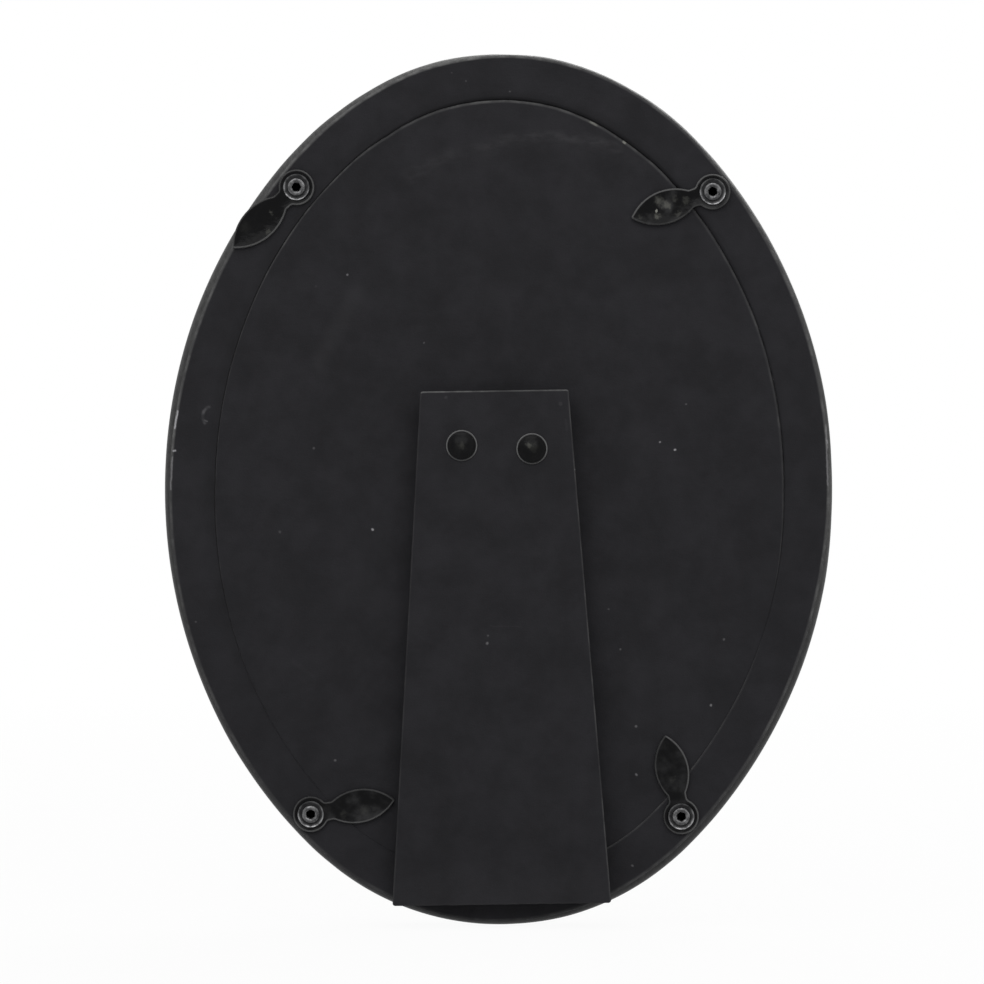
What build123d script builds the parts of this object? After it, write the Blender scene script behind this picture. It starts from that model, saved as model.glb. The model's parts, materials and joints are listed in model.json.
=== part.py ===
from build123d import *
import math
import os

# Oval table-top picture frame with an easel back, built as it comes apart on a bench.
# X runs to the right as seen from the front, Z is up and the back faces +Y. Left and right in the
# names of pieces are as seen from behind, where the hardware is. Lengths are millimetres, angles degrees.

# Outline: two side arcs and two end arcs, which meet where the outward direction has the join angle
frame_width = 151.5
frame_height = 197.5
arc_join_angle = 45.0
half_turn = 180.0

# Front moulding: section sizes, inward from the outer edge and forward from the seat of the glass
moulding_depth = 11.0
rear_round = 2.5
front_round = 5.0
crest_land = 2.0
crest_step = 0.8
cove_sag = 1.5
bead_width = 2.6
bead_crown = 0.8
bead_step = 0.8
lip_thickness = 3.2
sight_ledge = 5.5

# Back ring, glued to the moulding a little turned and a little high
ring_setback = 1.7
ring_width = 9.5
ring_arris = 0.35
ring_turn = 1.1
ring_lift = 0.3

# Sheets stacked in the ring, which have slid down and sideways within their clearance
glass_thickness = 2.0
insert_thickness = 0.3
filler_thickness = 1.0
panel_thickness = 3.0
panel_recess = 0.2
panel_arris = 0.3
glass_arris = 0.2
sheet_clearance = 0.35
sheet_drop = 0.22
sheet_slide = 0.12

# Easel hinge: where its pin lies from the frame's middle, how far it is turned, and its stock
easel_rise = 17.1
easel_aside = 0.87
easel_turn = 0.83
pin_radius = 0.7
pin_head_radius = 1.1
pin_head = 0.4
leaf_gauge = 0.6
leaf_drop = 20.0
leaf_corner = 2.0
hinge_length = 24.0
middle_knuckle = 9.0
knuckle_gap = 0.2
running_clearance = 0.05
knuckle_clearance = 0.15
notch_clearance = 0.3

# Easel strut: a tapered board whose heel above the pin stops it against the panel when it opens
strut_length = 115.0
strut_top_width = 33.2
strut_foot_width = 49.0
strut_thickness = 3.0
strut_heel = 5.0
strut_corner = 0.6
strut_arris = 0.3

# Rivets of the strut: domed heads outside, tails clinched on the hinge leaf
strut_rivet_head_radius = 3.5
strut_rivet_head = 1.6
strut_rivet_flange = 0.35
strut_rivet_ledge = 0.35
strut_rivet_shank_radius = 1.3
strut_rivet_tail_radius = 2.2
strut_rivet_tail = 0.6
strut_rivet_margin = 4.15
strut_rivet_aside = -0.35
strut_rivet_drop = 7.7
strut_rivet_stagger = 0.95

# Rivets of the panel: low heads on the hinge leaf, tails set into counterbores in the panel's front
panel_rivet_head_radius = 2.6
panel_rivet_head = 0.9
panel_rivet_flange = 0.3
panel_rivet_ledge = 0.3
panel_rivet_shank_radius = 1.2
panel_rivet_tail_radius = 2.3
panel_rivet_tail = 0.6
panel_rivet_margin = 6.5
panel_rivet_drop = 15.0
counterbore_depth = 0.8
counterbore_clearance = 0.3

# Turn buttons: a pressed blade with an eye, held under a washer by a hollow eyelet driven into the ring
eye_radius = 4.0
neck_width = 4.1
neck_fillet = 1.0
blade_middle = 11.1
blade_chord = 16.8
blade_width = 7.6
tip_round = 0.5
button_gauge = 0.8
button_arris = 0.25
button_clearance = 0.1
washer_radius = 3.0
washer_gauge = 0.4
washer_arris = 0.12
eyelet_tube_radius = 1.5
eyelet_bore_radius = 1.05
eyelet_lip = 0.45
eyelet_depth = 5.0

# Each button's place on the ring, by its outward direction and its share of the rim's width inward,
# and the heading of its blade; angles are counterclockwise from +X, seen from the front
button_place_angles = {"upper_left": 37.8, "upper_right": 141.9, "lower_right": 221.8, "lower_left": 317.2}
button_heading_angles = {"upper_left": -44.7, "upper_right": -19.0, "lower_right": 77.9, "lower_left": 169.3}
button_inset_shares = {"upper_left": 0.47, "upper_right": 0.41, "lower_right": 0.39, "lower_left": 0.44}

# Left as seen from behind is towards +X
side_signs = {"left": 1, "right": -1}

# Cuts run this far past the faces that they open
overrun = 1.0

# Worked out: the oval's arcs, as centre, radius, first direction and span
half_width = frame_width / 2
half_height = frame_height / 2
join = math.radians(arc_join_angle)
side_shift = (half_height - half_width) / (1 + math.tan(join) - 1 / math.cos(join))
end_shift = side_shift * math.tan(join)
side_radius = half_width + side_shift
end_radius = half_height - end_shift
side_span = 2 * arc_join_angle
end_span = half_turn - side_span
oval_arcs = (
    ((-side_shift, 0), side_radius, -arc_join_angle, side_span),
    ((0, end_shift), end_radius, arc_join_angle, end_span),
    ((side_shift, 0), side_radius, half_turn - arc_join_angle, side_span),
    ((0, -end_shift), end_radius, half_turn + arc_join_angle, end_span),
)

# Worked out: insets from the frame's outer edge
ring_inner = ring_setback + ring_width
sight_inset = ring_inner + sight_ledge
sheet_inset = ring_inner + sheet_clearance

# Worked out: depths behind the seat, where moulding, ring and glass meet
insert_front = glass_thickness
filler_front = insert_front + insert_thickness
panel_front = filler_front + filler_thickness
panel_rear = panel_front + panel_thickness
ring_rear = panel_rear + panel_recess
knuckle_radius = pin_radius + running_clearance + leaf_gauge
end_knuckle = (hinge_length - middle_knuckle) / 2 - knuckle_gap
end_knuckle_middle = (hinge_length - end_knuckle) / 2
pin_depth = panel_rear + knuckle_clearance + knuckle_radius
strut_front = pin_depth + knuckle_radius + knuckle_clearance
strut_rear = strut_front + strut_thickness
rearmost = strut_rear + strut_rivet_head
button_front = ring_rear + button_clearance
washer_front = button_front + button_gauge + button_clearance
washer_rear = washer_front + washer_gauge

# Worked out: the rivets' spacing between their margins at the ends of the hinge leaves
strut_rivet_spacing = hinge_length - 2 * strut_rivet_margin
panel_rivet_spacing = hinge_length - 2 * panel_rivet_margin

# Worked out: where the groups of pieces stand
ring_place = Pos(0, 0, ring_lift) * Rot(0, -ring_turn, 0)
sheet_place = ring_place * Pos(sheet_slide, 0, -sheet_drop)
easel_place = Pos(easel_aside, 0, easel_rise) * Rot(0, easel_turn, 0)
stand = Pos(0, (moulding_depth - rearmost) / 2, half_height)


def oval(inset):
    """Face bounded by the oval that runs this far inside the frame's outer edge."""
    edges = [CenterArc(centre, radius - inset, first, span) for centre, radius, first, span in oval_arcs]
    return make_face(edges)


def on_oval(direction, inset):
    """Point at this inset from the outer edge where the oval faces the given direction."""
    for centre, radius, first, span in oval_arcs:
        if (direction - first) % (2 * half_turn) <= span:
            reach = radius - inset
            turned = math.radians(direction)
            return centre[0] + reach * math.cos(turned), centre[1] + reach * math.sin(turned)


def slab(face, front, thickness):
    """Plate of this outline, from its front depth backwards."""
    return extrude(Plane.XZ.offset(-front - thickness) * face, thickness)


def bowed(start, end, bow):
    """Arc between two points that rises by bow to the left of the way from start to end."""
    chord = Vector(*end) - Vector(*start)
    side = Vector(-chord.Y, chord.X).normalized()
    return ThreePointArc(start, (Vector(*start) + Vector(*end)) / 2 + side * bow, end)


def rear_face(piece):
    """The face of a piece that lies furthest back."""
    return piece.faces().sort_by(Axis.Y)[-1]


def moulding_section():
    """Section of the moulding: x is inward from the outer edge, y is forward from the seat."""
    wall_top = moulding_depth - front_round
    land_end = front_round + crest_land
    bead_start = sight_inset - bead_width
    bead_foot = lip_thickness + bead_step
    crest = (front_round, moulding_depth)
    land = (land_end, moulding_depth)
    cove_top = (land_end, moulding_depth - crest_step)
    cove_foot = (bead_start, bead_foot)
    sight_front = (sight_inset, lip_thickness)
    sight_rear = (sight_inset, 0)
    return make_face(
        [
            Line(sight_rear, (rear_round, 0)),
            CenterArc((rear_round, rear_round), rear_round, half_turn, half_turn / 2),
            Line((0, rear_round), (0, wall_top)),
            CenterArc((front_round, wall_top), front_round, half_turn / 2, half_turn / 2),
            Line(crest, land),
            Line(land, cove_top),
            bowed(cove_top, cove_foot, -cove_sag),
            bowed(cove_foot, sight_front, bead_crown),
            Line(sight_front, sight_rear),
        ]
    )


def front_moulding():
    """The section carried round the oval, arc by arc."""
    section = Rot(0, 0, half_turn) * moulding_section()
    ring = Part()
    for (across, up), radius, first, span in oval_arcs:
        start = Rot(0, -first - span, 0) * Pos(radius, 0, 0) * section
        ring += Pos(across, 0, up) * revolve(start, Axis.Y, span)
    return ring


def button_places():
    """Middle of each eyelet, in the ring's own place."""
    places = {}
    for corner, direction in button_place_angles.items():
        inset = ring_setback + ring_width * button_inset_shares[corner]
        places[corner] = on_oval(direction, inset)
    return places


def back_ring():
    """Flat ring that forms the rabbet, with its rear edges eased and a blind hole for each eyelet."""
    ring = slab(oval(ring_setback) - oval(ring_inner), 0, ring_rear)
    ring = chamfer(rear_face(ring).edges(), ring_arris)
    for place in button_places().values():
        hole = Pos(*place) * Circle(eyelet_tube_radius)
        ring -= slab(hole, ring_rear - eyelet_depth, eyelet_depth + overrun)
    return ring_place * ring


def sheet(front, thickness):
    """One of the oval sheets that lie in the rabbet."""
    return sheet_place * slab(oval(sheet_inset), front, thickness)


def glass_pane():
    """Pane with its rear edge ground off."""
    pane = sheet(0, glass_thickness)
    return chamfer(rear_face(pane).edges(), glass_arris)


def panel_rivet_places():
    """Middles of the two panel rivets, from the hinge pin."""
    return {side: (sign * panel_rivet_spacing / 2, -panel_rivet_drop) for side, sign in side_signs.items()}


def strut_rivet_places():
    """Middles of the two strut rivets, from the hinge pin; the right one sits lower."""
    places = {}
    for side, sign in side_signs.items():
        across = strut_rivet_aside + sign * strut_rivet_spacing / 2
        places[side] = (across, -strut_rivet_drop + sign * strut_rivet_stagger / 2)
    return places


def back_panel():
    """Lift-out panel, with rivet holes and the counterbores for their tails."""
    panel = sheet(panel_front, panel_thickness)
    panel = chamfer(rear_face(panel).edges(), panel_arris)
    counterbore = Circle(panel_rivet_tail_radius + counterbore_clearance)
    for place in panel_rivet_places().values():
        hole = slab(Pos(*place) * Circle(panel_rivet_shank_radius), panel_front, panel_thickness + overrun)
        pocket = slab(Pos(*place) * counterbore, panel_front - overrun, counterbore_depth + overrun)
        panel -= easel_place * (hole + pocket)
    return panel


def leaf_blank(places, hole_radius):
    """Outline of a hinge leaf that hangs from the pin, with its rivet holes."""
    blank = Pos(0, -leaf_drop / 2) * Rectangle(hinge_length, leaf_drop)
    blank = fillet(blank.vertices().sort_by(Axis.Y)[:2], leaf_corner)
    for place in places.values():
        blank -= Pos(*place) * Circle(hole_radius)
    return blank


def knuckle(middle, length, radius):
    """Cylinder along the hinge pin."""
    return Pos(middle, pin_depth, 0) * Rot(0, half_turn / 2, 0) * Cylinder(radius, length)


def notch(middle, length):
    """Block that clears a leaf away from a knuckle of the other leaf."""
    reach = 2 * (knuckle_radius + notch_clearance)
    return Pos(middle, pin_depth, 0) * Box(length, 2 * (strut_front - pin_depth) + overrun, reach)


def hinge_panel_leaf():
    """Leaf on the panel, whose two end knuckles grip the pin."""
    blank = leaf_blank(panel_rivet_places(), panel_rivet_shank_radius)
    leaf = slab(blank, panel_rear, leaf_gauge)
    leaf -= notch(0, middle_knuckle + 2 * knuckle_gap)
    for sign in side_signs.values():
        leaf += knuckle(sign * end_knuckle_middle, end_knuckle, knuckle_radius)
    leaf -= knuckle(0, hinge_length + overrun, pin_radius)
    return easel_place * leaf


def hinge_strut_leaf():
    """Leaf on the strut, whose middle knuckle turns on the pin."""
    blank = leaf_blank(strut_rivet_places(), strut_rivet_shank_radius)
    leaf = slab(blank, strut_front - leaf_gauge, leaf_gauge)
    for sign in side_signs.values():
        leaf -= notch(sign * (middle_knuckle + hinge_length) / 2, hinge_length)
    leaf += knuckle(0, middle_knuckle, knuckle_radius)
    leaf -= knuckle(0, middle_knuckle + overrun, pin_radius + running_clearance)
    return easel_place * leaf


def hinge_pin():
    """Pin with peened ends outside the end knuckles."""
    pin = knuckle(0, hinge_length + 2 * pin_head, pin_radius)
    for sign in side_signs.values():
        pin += knuckle(sign * (hinge_length + pin_head) / 2, pin_head, pin_head_radius)
    return easel_place * pin


def rivet(seat, grip, head_radius, head, flange, ledge, shank_radius, tail_radius, tail):
    """Rivet along Y: a flanged dome behind its seat, a shank through the grip and a flat tail."""
    outline = [
        Polyline(
            (0, -grip - tail),
            (tail_radius, -grip - tail),
            (tail_radius, -grip),
            (shank_radius, -grip),
            (shank_radius, 0),
            (head_radius, 0),
            (head_radius, flange),
            (head_radius - ledge, flange),
        ),
        TangentArc((0, head), (head_radius - ledge, flange), tangent=(1, 0)),
        Line((0, head), (0, -grip - tail)),
    ]
    return Pos(0, seat, 0) * revolve(make_face(outline), Axis.Y)


def panel_rivet(place):
    """Rivet that fastens the hinge's panel leaf."""
    seat = panel_rear + leaf_gauge
    grip = leaf_gauge + panel_thickness - counterbore_depth
    body = rivet(
        seat,
        grip,
        panel_rivet_head_radius,
        panel_rivet_head,
        panel_rivet_flange,
        panel_rivet_ledge,
        panel_rivet_shank_radius,
        panel_rivet_tail_radius,
        panel_rivet_tail,
    )
    return easel_place * Pos(place[0], 0, place[1]) * body


def strut_rivet(place):
    """Rivet that fastens the strut to its hinge leaf."""
    body = rivet(
        strut_rear,
        strut_thickness + leaf_gauge,
        strut_rivet_head_radius,
        strut_rivet_head,
        strut_rivet_flange,
        strut_rivet_ledge,
        strut_rivet_shank_radius,
        strut_rivet_tail_radius,
        strut_rivet_tail,
    )
    return easel_place * Pos(place[0], 0, place[1]) * body


def easel_strut():
    """Tapered board from its heel above the pin down to its foot."""
    top = strut_top_width / 2
    foot = strut_foot_width / 2
    toe = strut_heel - strut_length
    corners = [(-top, strut_heel), (top, strut_heel), (foot, toe), (-foot, toe)]
    outline = make_face(Polyline(*corners, close=True))
    outline = fillet(outline.vertices(), strut_corner)
    board = slab(outline, strut_front, strut_thickness)
    board = chamfer(rear_face(board).edges(), strut_arris)
    for place in strut_rivet_places().values():
        hole = Pos(*place) * Circle(strut_rivet_shank_radius)
        board -= slab(hole, strut_front - overrun, strut_thickness + 2 * overrun)
    return easel_place * board


def turn_button():
    """Pressed plate with its eye at the origin and the tip of its blade along +X."""
    arc_radius = (blade_chord**2 + blade_width**2) / (4 * blade_width)
    arc_aside = arc_radius - blade_width / 2
    upper = Pos(blade_middle, arc_aside) * Circle(arc_radius)
    lower = Pos(blade_middle, -arc_aside) * Circle(arc_radius)
    neck = Pos(blade_middle / 2, 0) * Rectangle(blade_middle, neck_width)
    outline = Circle(eye_radius) + neck + (upper & lower)
    corners = outline.vertices().sort_by(Axis.X)
    outline = fillet(corners[:4], neck_fillet)
    outline = fillet(outline.vertices().sort_by(Axis.X)[-1:], tip_round)
    plate = slab(outline, button_front, button_gauge)
    plate = chamfer(rear_face(plate).edges(), button_arris)
    hole = Circle(eyelet_tube_radius + running_clearance)
    return plate - slab(hole, button_front - overrun, button_gauge + 2 * overrun)


def eyelet_washer():
    """Flat washer between the button's eye and the eyelet's lip."""
    washer = slab(Circle(washer_radius), washer_front, washer_gauge)
    washer = chamfer(rear_face(washer).edges(), washer_arris)
    return washer - slab(Circle(eyelet_tube_radius), washer_front - overrun, washer_gauge + 2 * overrun)


def eyelet():
    """Hollow eyelet: a tube in the ring and a rolled lip on the washer."""
    foot = ring_rear - eyelet_depth
    bore = (eyelet_bore_radius, foot)
    lip_inner = (eyelet_bore_radius, washer_rear)
    lip_outer = (eyelet_tube_radius + eyelet_lip, washer_rear)
    wall = (eyelet_tube_radius, washer_rear)
    base = (eyelet_tube_radius, foot)
    crown = ((lip_inner[0] + lip_outer[0]) / 2, washer_rear + eyelet_lip)
    outline = [Polyline(lip_outer, wall, base, bore, lip_inner), ThreePointArc(lip_inner, crown, lip_outer)]
    return revolve(make_face(outline), Axis.Y)


def all_pieces():
    """Every piece by its name, in the frame's upright place with the easel closed."""
    pieces = {
        "front_moulding": front_moulding(),
        "back_ring": back_ring(),
        "glass_pane": glass_pane(),
        "picture_insert": sheet(insert_front, insert_thickness),
        "filler_card": sheet(filler_front, filler_thickness),
        "back_panel": back_panel(),
        "hinge_panel_leaf": hinge_panel_leaf(),
        "hinge_pin": hinge_pin(),
        "hinge_strut_leaf": hinge_strut_leaf(),
        "easel_strut": easel_strut(),
    }
    for side, place in panel_rivet_places().items():
        pieces["panel_rivet_" + side] = panel_rivet(place)
    for side, place in strut_rivet_places().items():
        pieces["strut_rivet_" + side] = strut_rivet(place)
    for corner, place in button_places().items():
        spot = ring_place * Pos(place[0], 0, place[1])
        pieces["turn_button_" + corner] = spot * Rot(0, -button_heading_angles[corner], 0) * turn_button()
        pieces["eyelet_washer_" + corner] = spot * eyelet_washer()
        pieces["eyelet_" + corner] = spot * eyelet()
    return {name: stand * piece for name, piece in pieces.items()}


def print_places():
    """Where the joints and the resting faces are, for whoever mounts the frame."""
    foot_middle = (strut_front + strut_rear) / 2
    land_middle = half_height - front_round - crest_land / 2
    places = {
        "easel hinge": stand * easel_place * Pos(0, pin_depth, 0),
        "strut foot": stand * easel_place * Pos(0, foot_middle, strut_heel - strut_length),
        "front land": stand * Pos(0, -moulding_depth, land_middle),
    }
    for corner, place in button_places().items():
        places["turn button " + corner] = stand * ring_place * Pos(place[0], ring_rear, place[1])
    for name, place in places.items():
        print(name, [round(value, 4) for value in place.position])


os.makedirs("parts", exist_ok=True)
for piece_name, piece_shape in all_pieces().items():
    export_step(piece_shape, "parts/" + piece_name + ".step")
print_places()
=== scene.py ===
import json
import math
from typing import NamedTuple

import bmesh
import bpy
from bpy.props import FloatProperty, FloatVectorProperty, PointerProperty
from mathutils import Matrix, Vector, noise


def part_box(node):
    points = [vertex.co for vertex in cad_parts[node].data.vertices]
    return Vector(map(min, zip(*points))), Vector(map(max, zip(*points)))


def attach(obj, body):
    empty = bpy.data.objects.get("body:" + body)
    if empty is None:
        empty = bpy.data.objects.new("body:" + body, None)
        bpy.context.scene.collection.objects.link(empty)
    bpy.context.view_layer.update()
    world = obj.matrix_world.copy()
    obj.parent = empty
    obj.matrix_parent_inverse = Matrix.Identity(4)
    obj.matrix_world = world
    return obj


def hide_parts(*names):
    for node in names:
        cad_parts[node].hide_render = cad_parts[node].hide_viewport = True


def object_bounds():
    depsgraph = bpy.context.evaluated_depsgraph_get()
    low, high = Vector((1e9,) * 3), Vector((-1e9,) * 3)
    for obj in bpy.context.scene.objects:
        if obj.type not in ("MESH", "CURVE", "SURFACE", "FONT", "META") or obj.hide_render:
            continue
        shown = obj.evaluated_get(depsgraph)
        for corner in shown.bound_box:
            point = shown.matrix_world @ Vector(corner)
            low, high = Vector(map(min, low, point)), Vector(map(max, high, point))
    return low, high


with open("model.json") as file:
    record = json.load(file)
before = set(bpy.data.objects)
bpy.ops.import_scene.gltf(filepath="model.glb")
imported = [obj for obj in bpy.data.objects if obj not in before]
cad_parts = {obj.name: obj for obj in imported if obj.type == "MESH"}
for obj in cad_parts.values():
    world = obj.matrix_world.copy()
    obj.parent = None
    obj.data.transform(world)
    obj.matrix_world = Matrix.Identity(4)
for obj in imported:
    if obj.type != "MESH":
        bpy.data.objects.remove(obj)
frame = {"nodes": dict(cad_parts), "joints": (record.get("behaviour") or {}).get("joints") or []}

bl_info = {
    "name": "Oval picture frame",
    "version": (1, 0, 0),
    "blender": (4, 5, 0),
    "location": "3D View > Sidebar > Oval frame",
    "description": "Dresses an oval table-top picture frame with an easel back",
    "category": "Add Mesh",
}

CAD_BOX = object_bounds()
CORNERS = ("upper_left", "upper_right", "lower_right", "lower_left")
SIDES = ("left", "right")
PIVOTS = {joint["name"]: Vector(joint["pos_m"]) for joint in frame["joints"]}

# How the pieces lie: the ring is turned and high on the moulding, the glass has slid in the ring, and
# the easel is turned the other way
ARC_JOIN = math.radians(45)
RING_TURN = math.radians(1.1)
RING_LIFT = 0.0003
GLASS_SHIFT = Vector((0.00012, -0.00022))
EASEL_TURN = math.radians(-0.83)

# An eyelet's tube against its rolled lip, and the room round the rivets' shanks and tails
TUBE_SHARE = 0.77
RIVET_ROOM = 0.00002
POCKET_ROOM = 0.0001

# How finely the meshes are divided
OVAL_STEP = 0.0012
BOARD_STEP = 0.0008
BLADE_STEP = 0.00025
ARC_STEPS = 4
ROUND_STEPS = 9
LATHE_STEPS = 96
DOME_STEPS = 14
CAP_SHARES = (0.8, 0.5, 0.2, 0.05)
SUPPORT = 0.0004

# How fast the noise of ragged and rubbed edges changes from loop to loop and from piece to piece
NOISE_DRIFT = 900.0

# Depth of each finish's relief, in metres
RELIEF = {
    "board": 0.00006, "lacquer": 0.00006, "blade": 0.00022, "rivet": 0.00006,
    "plating": 0.00003, "zinc": 0.00002, "paper": 0.00004, "card": 0.00008,
}

# Spacing, size and share of the dust on the boards and of the flecks in the card
DUST = (0.012, 0.00024, 0.4)
FLECKS = (0.0021, 0.00025, 0.35)

# How far marks and blots waver, and the depths under a board's rear face between which its marks fade in
MARK_WAVER = 0.0007
BLOT_WAVER = 0.003
MARK_DEPTHS = (0.0006, 0.0003)

# Distances from the frame between which the floor turns all white
FLOOR_FADE = (0.25, 1.2)


class AllRound:
    """A value that varies round the oval, given at outward directions in degrees from +X."""

    def __init__(self, *values):
        self.values = values

    def at(self, direction):
        """Value at a direction in radians."""
        degrees = math.degrees(direction) % 360
        for (first, low), (second, high) in zip(self.values, self.values[1:]):
            if first <= degrees <= second:
                return low + (high - low) * (degrees - first) / (second - first)


# How far the outer edges of the moulding and the ring stray outward from a true oval, in metres
MOULDING_STRAY = AllRound(
    (0, 0.0), (3, 0.0), (20, 0.0002), (40, 0.0001), (46, -0.0002), (52, -0.00045), (60, -0.00045),
    (70, -0.00015), (78, 0.0), (93, 0.0), (100, 0.0003), (120, 0.0002), (130, 0.0004), (140, 0.0007),
    (150, 0.00066), (160, 0.0005), (170, 0.0003), (177, 0.0), (183, 0.0), (190, 0.0003), (200, 0.00043),
    (220, 0.0005), (230, 0.0003), (255, 0.0002), (266, 0.0), (310, 0.0), (320, 0.0003), (330, 0.0004),
    (340, 0.0002), (357, 0.0), (360, 0.0),
)
RING_STRAY = AllRound(
    (0, 0.0), (20, 0.0), (40, 0.00015), (50, -0.00025), (60, -0.00025), (70, 0.0001), (80, 0.0002),
    (90, 0.0004), (100, 0.0004), (120, 0.0002), (130, 0.0003), (140, 0.00055), (160, 0.00062), (170, 0.00052),
    (190, 0.0004), (200, 0.00055), (210, 0.0008), (220, 0.0008), (230, 0.00055), (250, 0.00062),
    (270, 0.00062), (280, 0.0004), (290, 0.0), (310, 0.0), (320, 0.0002), (330, 0.00033), (340, 0.00033),
    (350, 0.00012), (360, 0.0),
)
# How strongly the ring's outer edge, the panel's edge and the moulding's rear round are rubbed; the
# moulding's, high at the top and low at the bottom, is partly painted highlight and shade from light above
RING_RUB = AllRound(
    (0, 0.5), (3, 0.5), (5, 1.2), (9, 1.1), (12, 0.6), (25, 0.65), (45, 0.9), (60, 0.8), (72, 1.0),
    (85, 1.1), (100, 0.7), (120, 0.7), (135, 0.45), (160, 0.6), (172, 0.8), (184, 0.8), (192, 0.55),
    (205, 0.45), (235, 0.35), (270, 0.3), (300, 0.25), (330, 0.3), (350, 0.45), (360, 0.5),
)
PANEL_RUB = AllRound(
    (0, 0.18), (10, 0.24), (20, 0.28), (30, 0.48), (40, 0.36), (50, 0.5), (60, 0.24), (70, 0.4), (80, 0.56),
    (92, 0.54), (102, 0.48), (110, 0.33), (120, 0.42), (130, 0.34), (140, 0.2), (150, 0.22), (160, 0.28),
    (170, 0.24), (180, 0.2), (190, 0.14), (200, 0.02), (215, 0.06), (222, 0.12), (240, 0.12), (246, 0.0),
    (300, 0.05), (312, 0.16), (320, 0.1), (340, 0.16), (360, 0.18),
)
MOULDING_RUB_AND_LIGHT = AllRound(
    (0, 0.24), (25, 0.4), (60, 0.5), (72, 0.75), (85, 0.95), (100, 0.85), (115, 0.65), (130, 0.5), (150, 0.3),
    (172, 0.25), (178, 0.6), (188, 0.5), (200, 0.24), (225, 0.2), (270, 0.2), (300, 0.12), (330, 0.17),
    (360, 0.24),
)
# How far the seam round the panel strays outward and how wide it stands open, in metres, and how much
# painted shade lies on its ring side, or below zero how much painted highlight
SEAM_STRAY = AllRound(
    (0, -0.0007), (10, -0.00045), (20, -0.00015), (28, 0.0002), (36, 0.00025), (45, -0.00012), (56, -0.00038),
    (66, -0.00005), (76, 0.00018), (90, 0.00028), (102, 0.00028), (112, 0.00008), (122, -0.00012), (130, 0.0),
    (137, 0.0004), (145, 0.00052), (158, 0.0004), (170, 0.00005), (180, -0.0001), (187, 0.0002),
    (195, 0.0005), (205, 0.0007), (225, 0.0006), (245, 0.0003), (300, 0.0003), (328, 0.00045), (337, 0.0003),
    (345, -0.0001), (353, -0.00045), (360, -0.0007),
)
SEAM_OPEN = AllRound(
    (0, 0.00006), (20, 0.00005), (45, 0.00012), (60, 0.0003), (75, 0.00045), (110, 0.00055), (130, 0.00058),
    (140, 0.0005), (155, 0.0003), (175, 0.00026), (188, 0.0001), (200, 0.000004), (245, 0.000004),
    (300, 0.000004), (320, 0.000006), (340, 0.00002), (350, 0.00006), (360, 0.00006),
)
SEAM_SHADE_AND_HIGHLIGHT = AllRound(
    (0, 1.1), (20, 1.0), (35, 0.8), (45, 0.5), (60, 0.7), (75, 1.0), (135, 1.0), (150, 0.65), (180, 0.45),
    (190, 0.3), (197, 0.0), (203, -0.2), (215, -0.3), (222, -0.45), (238, -0.5), (246, -0.2), (260, 0.0),
    (290, 0.1), (312, 0.3), (330, 0.55), (345, 0.85), (360, 1.1),
)


class BladeLook(NamedTuple):
    """How a turn button looks: its heading and most rubbed side in degrees, its length against the
    drawing, how strong its cloudy layer is, partly a painted reflection, and its pale spots as across, up,
    size and strength, partly painted glints and reflections."""

    heading: float
    rub_side: float
    stretch: float
    film_and_reflection: float
    blots_and_glints: tuple


BLADES = {
    "upper_left": BladeLook(-43.6, 225, 1.02, 0.05, (
        (0.0512, 0.1609, 0.0006, 0.16), (0.0518, 0.1567, 0.0008, 0.13), (0.057, 0.1575, 0.0018, 0.025))),
    "upper_right": BladeLook(-17.9, 80, 0.985, 0.75, (
        (-0.0354, 0.1613, 0.00055, 1.0), (-0.0361, 0.1636, 0.0014, 0.2), (-0.0378, 0.1627, 0.0013, 0.24),
        (-0.0357, 0.1602, 0.0009, 0.26), (-0.0404, 0.1607, 0.0009, 0.12), (-0.0421, 0.1636, 0.0012, 0.11),
        (-0.0396, 0.164, 0.0011, 0.09), (-0.0317, 0.1598, 0.0008, 0.08))),
    "lower_right": BladeLook(79.0, 190, 0.945, 0.45, (
        (-0.0425, 0.0388, 0.0014, 0.05), (-0.0392, 0.0335, 0.0009, 0.04))),
    "lower_left": BladeLook(170.4, 250, 0.98, 0.7, (
        (0.0351, 0.0257, 0.0012, 0.06), (0.0303, 0.0266, 0.0014, 0.05))),
}


def length(name, description, default):
    """Property that is a length in metres."""
    return FloatProperty(
        name=name, description=description, default=default, unit="LENGTH", subtype="DISTANCE")


def colour(name, description, *default):
    """Property that is a colour."""
    return FloatVectorProperty(
        name=name, description=description, default=default, size=3, min=0, max=1, subtype="COLOR")


def factor(name, description, default):
    """Property that is a share from 0 to 1."""
    return FloatProperty(name=name, description=description, default=default, min=0, max=1, subtype="FACTOR")


def power(name, description, default):
    """Property that is a lamp's power in watts."""
    return FloatProperty(name=name, description=description, default=default, min=0, unit="POWER")


class FrameSizes(bpy.types.PropertyGroup):
    """Sizes of the pieces that their boxes in the frame don't give."""

    ring_setback: length("Ring setback", "How far the ring lies inside the moulding's edge", 0.0017)
    ring_width: length("Ring width", "Width of the flat rim at the back", 0.0095)
    sheet_gap: length("Sheet gap", "Room round the panel and the glass in the ring", 0.00035)
    board_arris: length("Board arris", "Easing of the boards' rear edges", 0.00034)
    strut_top: length("Strut top", "Width of the strut at its top", 0.0332)
    strut_foot: length("Strut foot", "Width of the strut at its foot", 0.049)
    strut_length: length("Strut length", "Length of the strut from heel to foot", 0.115)
    strut_heel: length("Strut heel", "How far the strut reaches above its pin", 0.005)
    eye_radius: length("Eye radius", "Radius of a turn button's eye", 0.004)
    neck_width: length("Neck width", "Width of a turn button between eye and blade", 0.0041)
    blade_chord: length("Blade chord", "Length of a turn button's blade between its points", 0.0168)
    blade_width: length("Blade width", "Greatest width of a turn button's blade", 0.0076)
    blade_middle: length("Blade middle", "Distance from the eye to the blade's middle", 0.0111)


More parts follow.
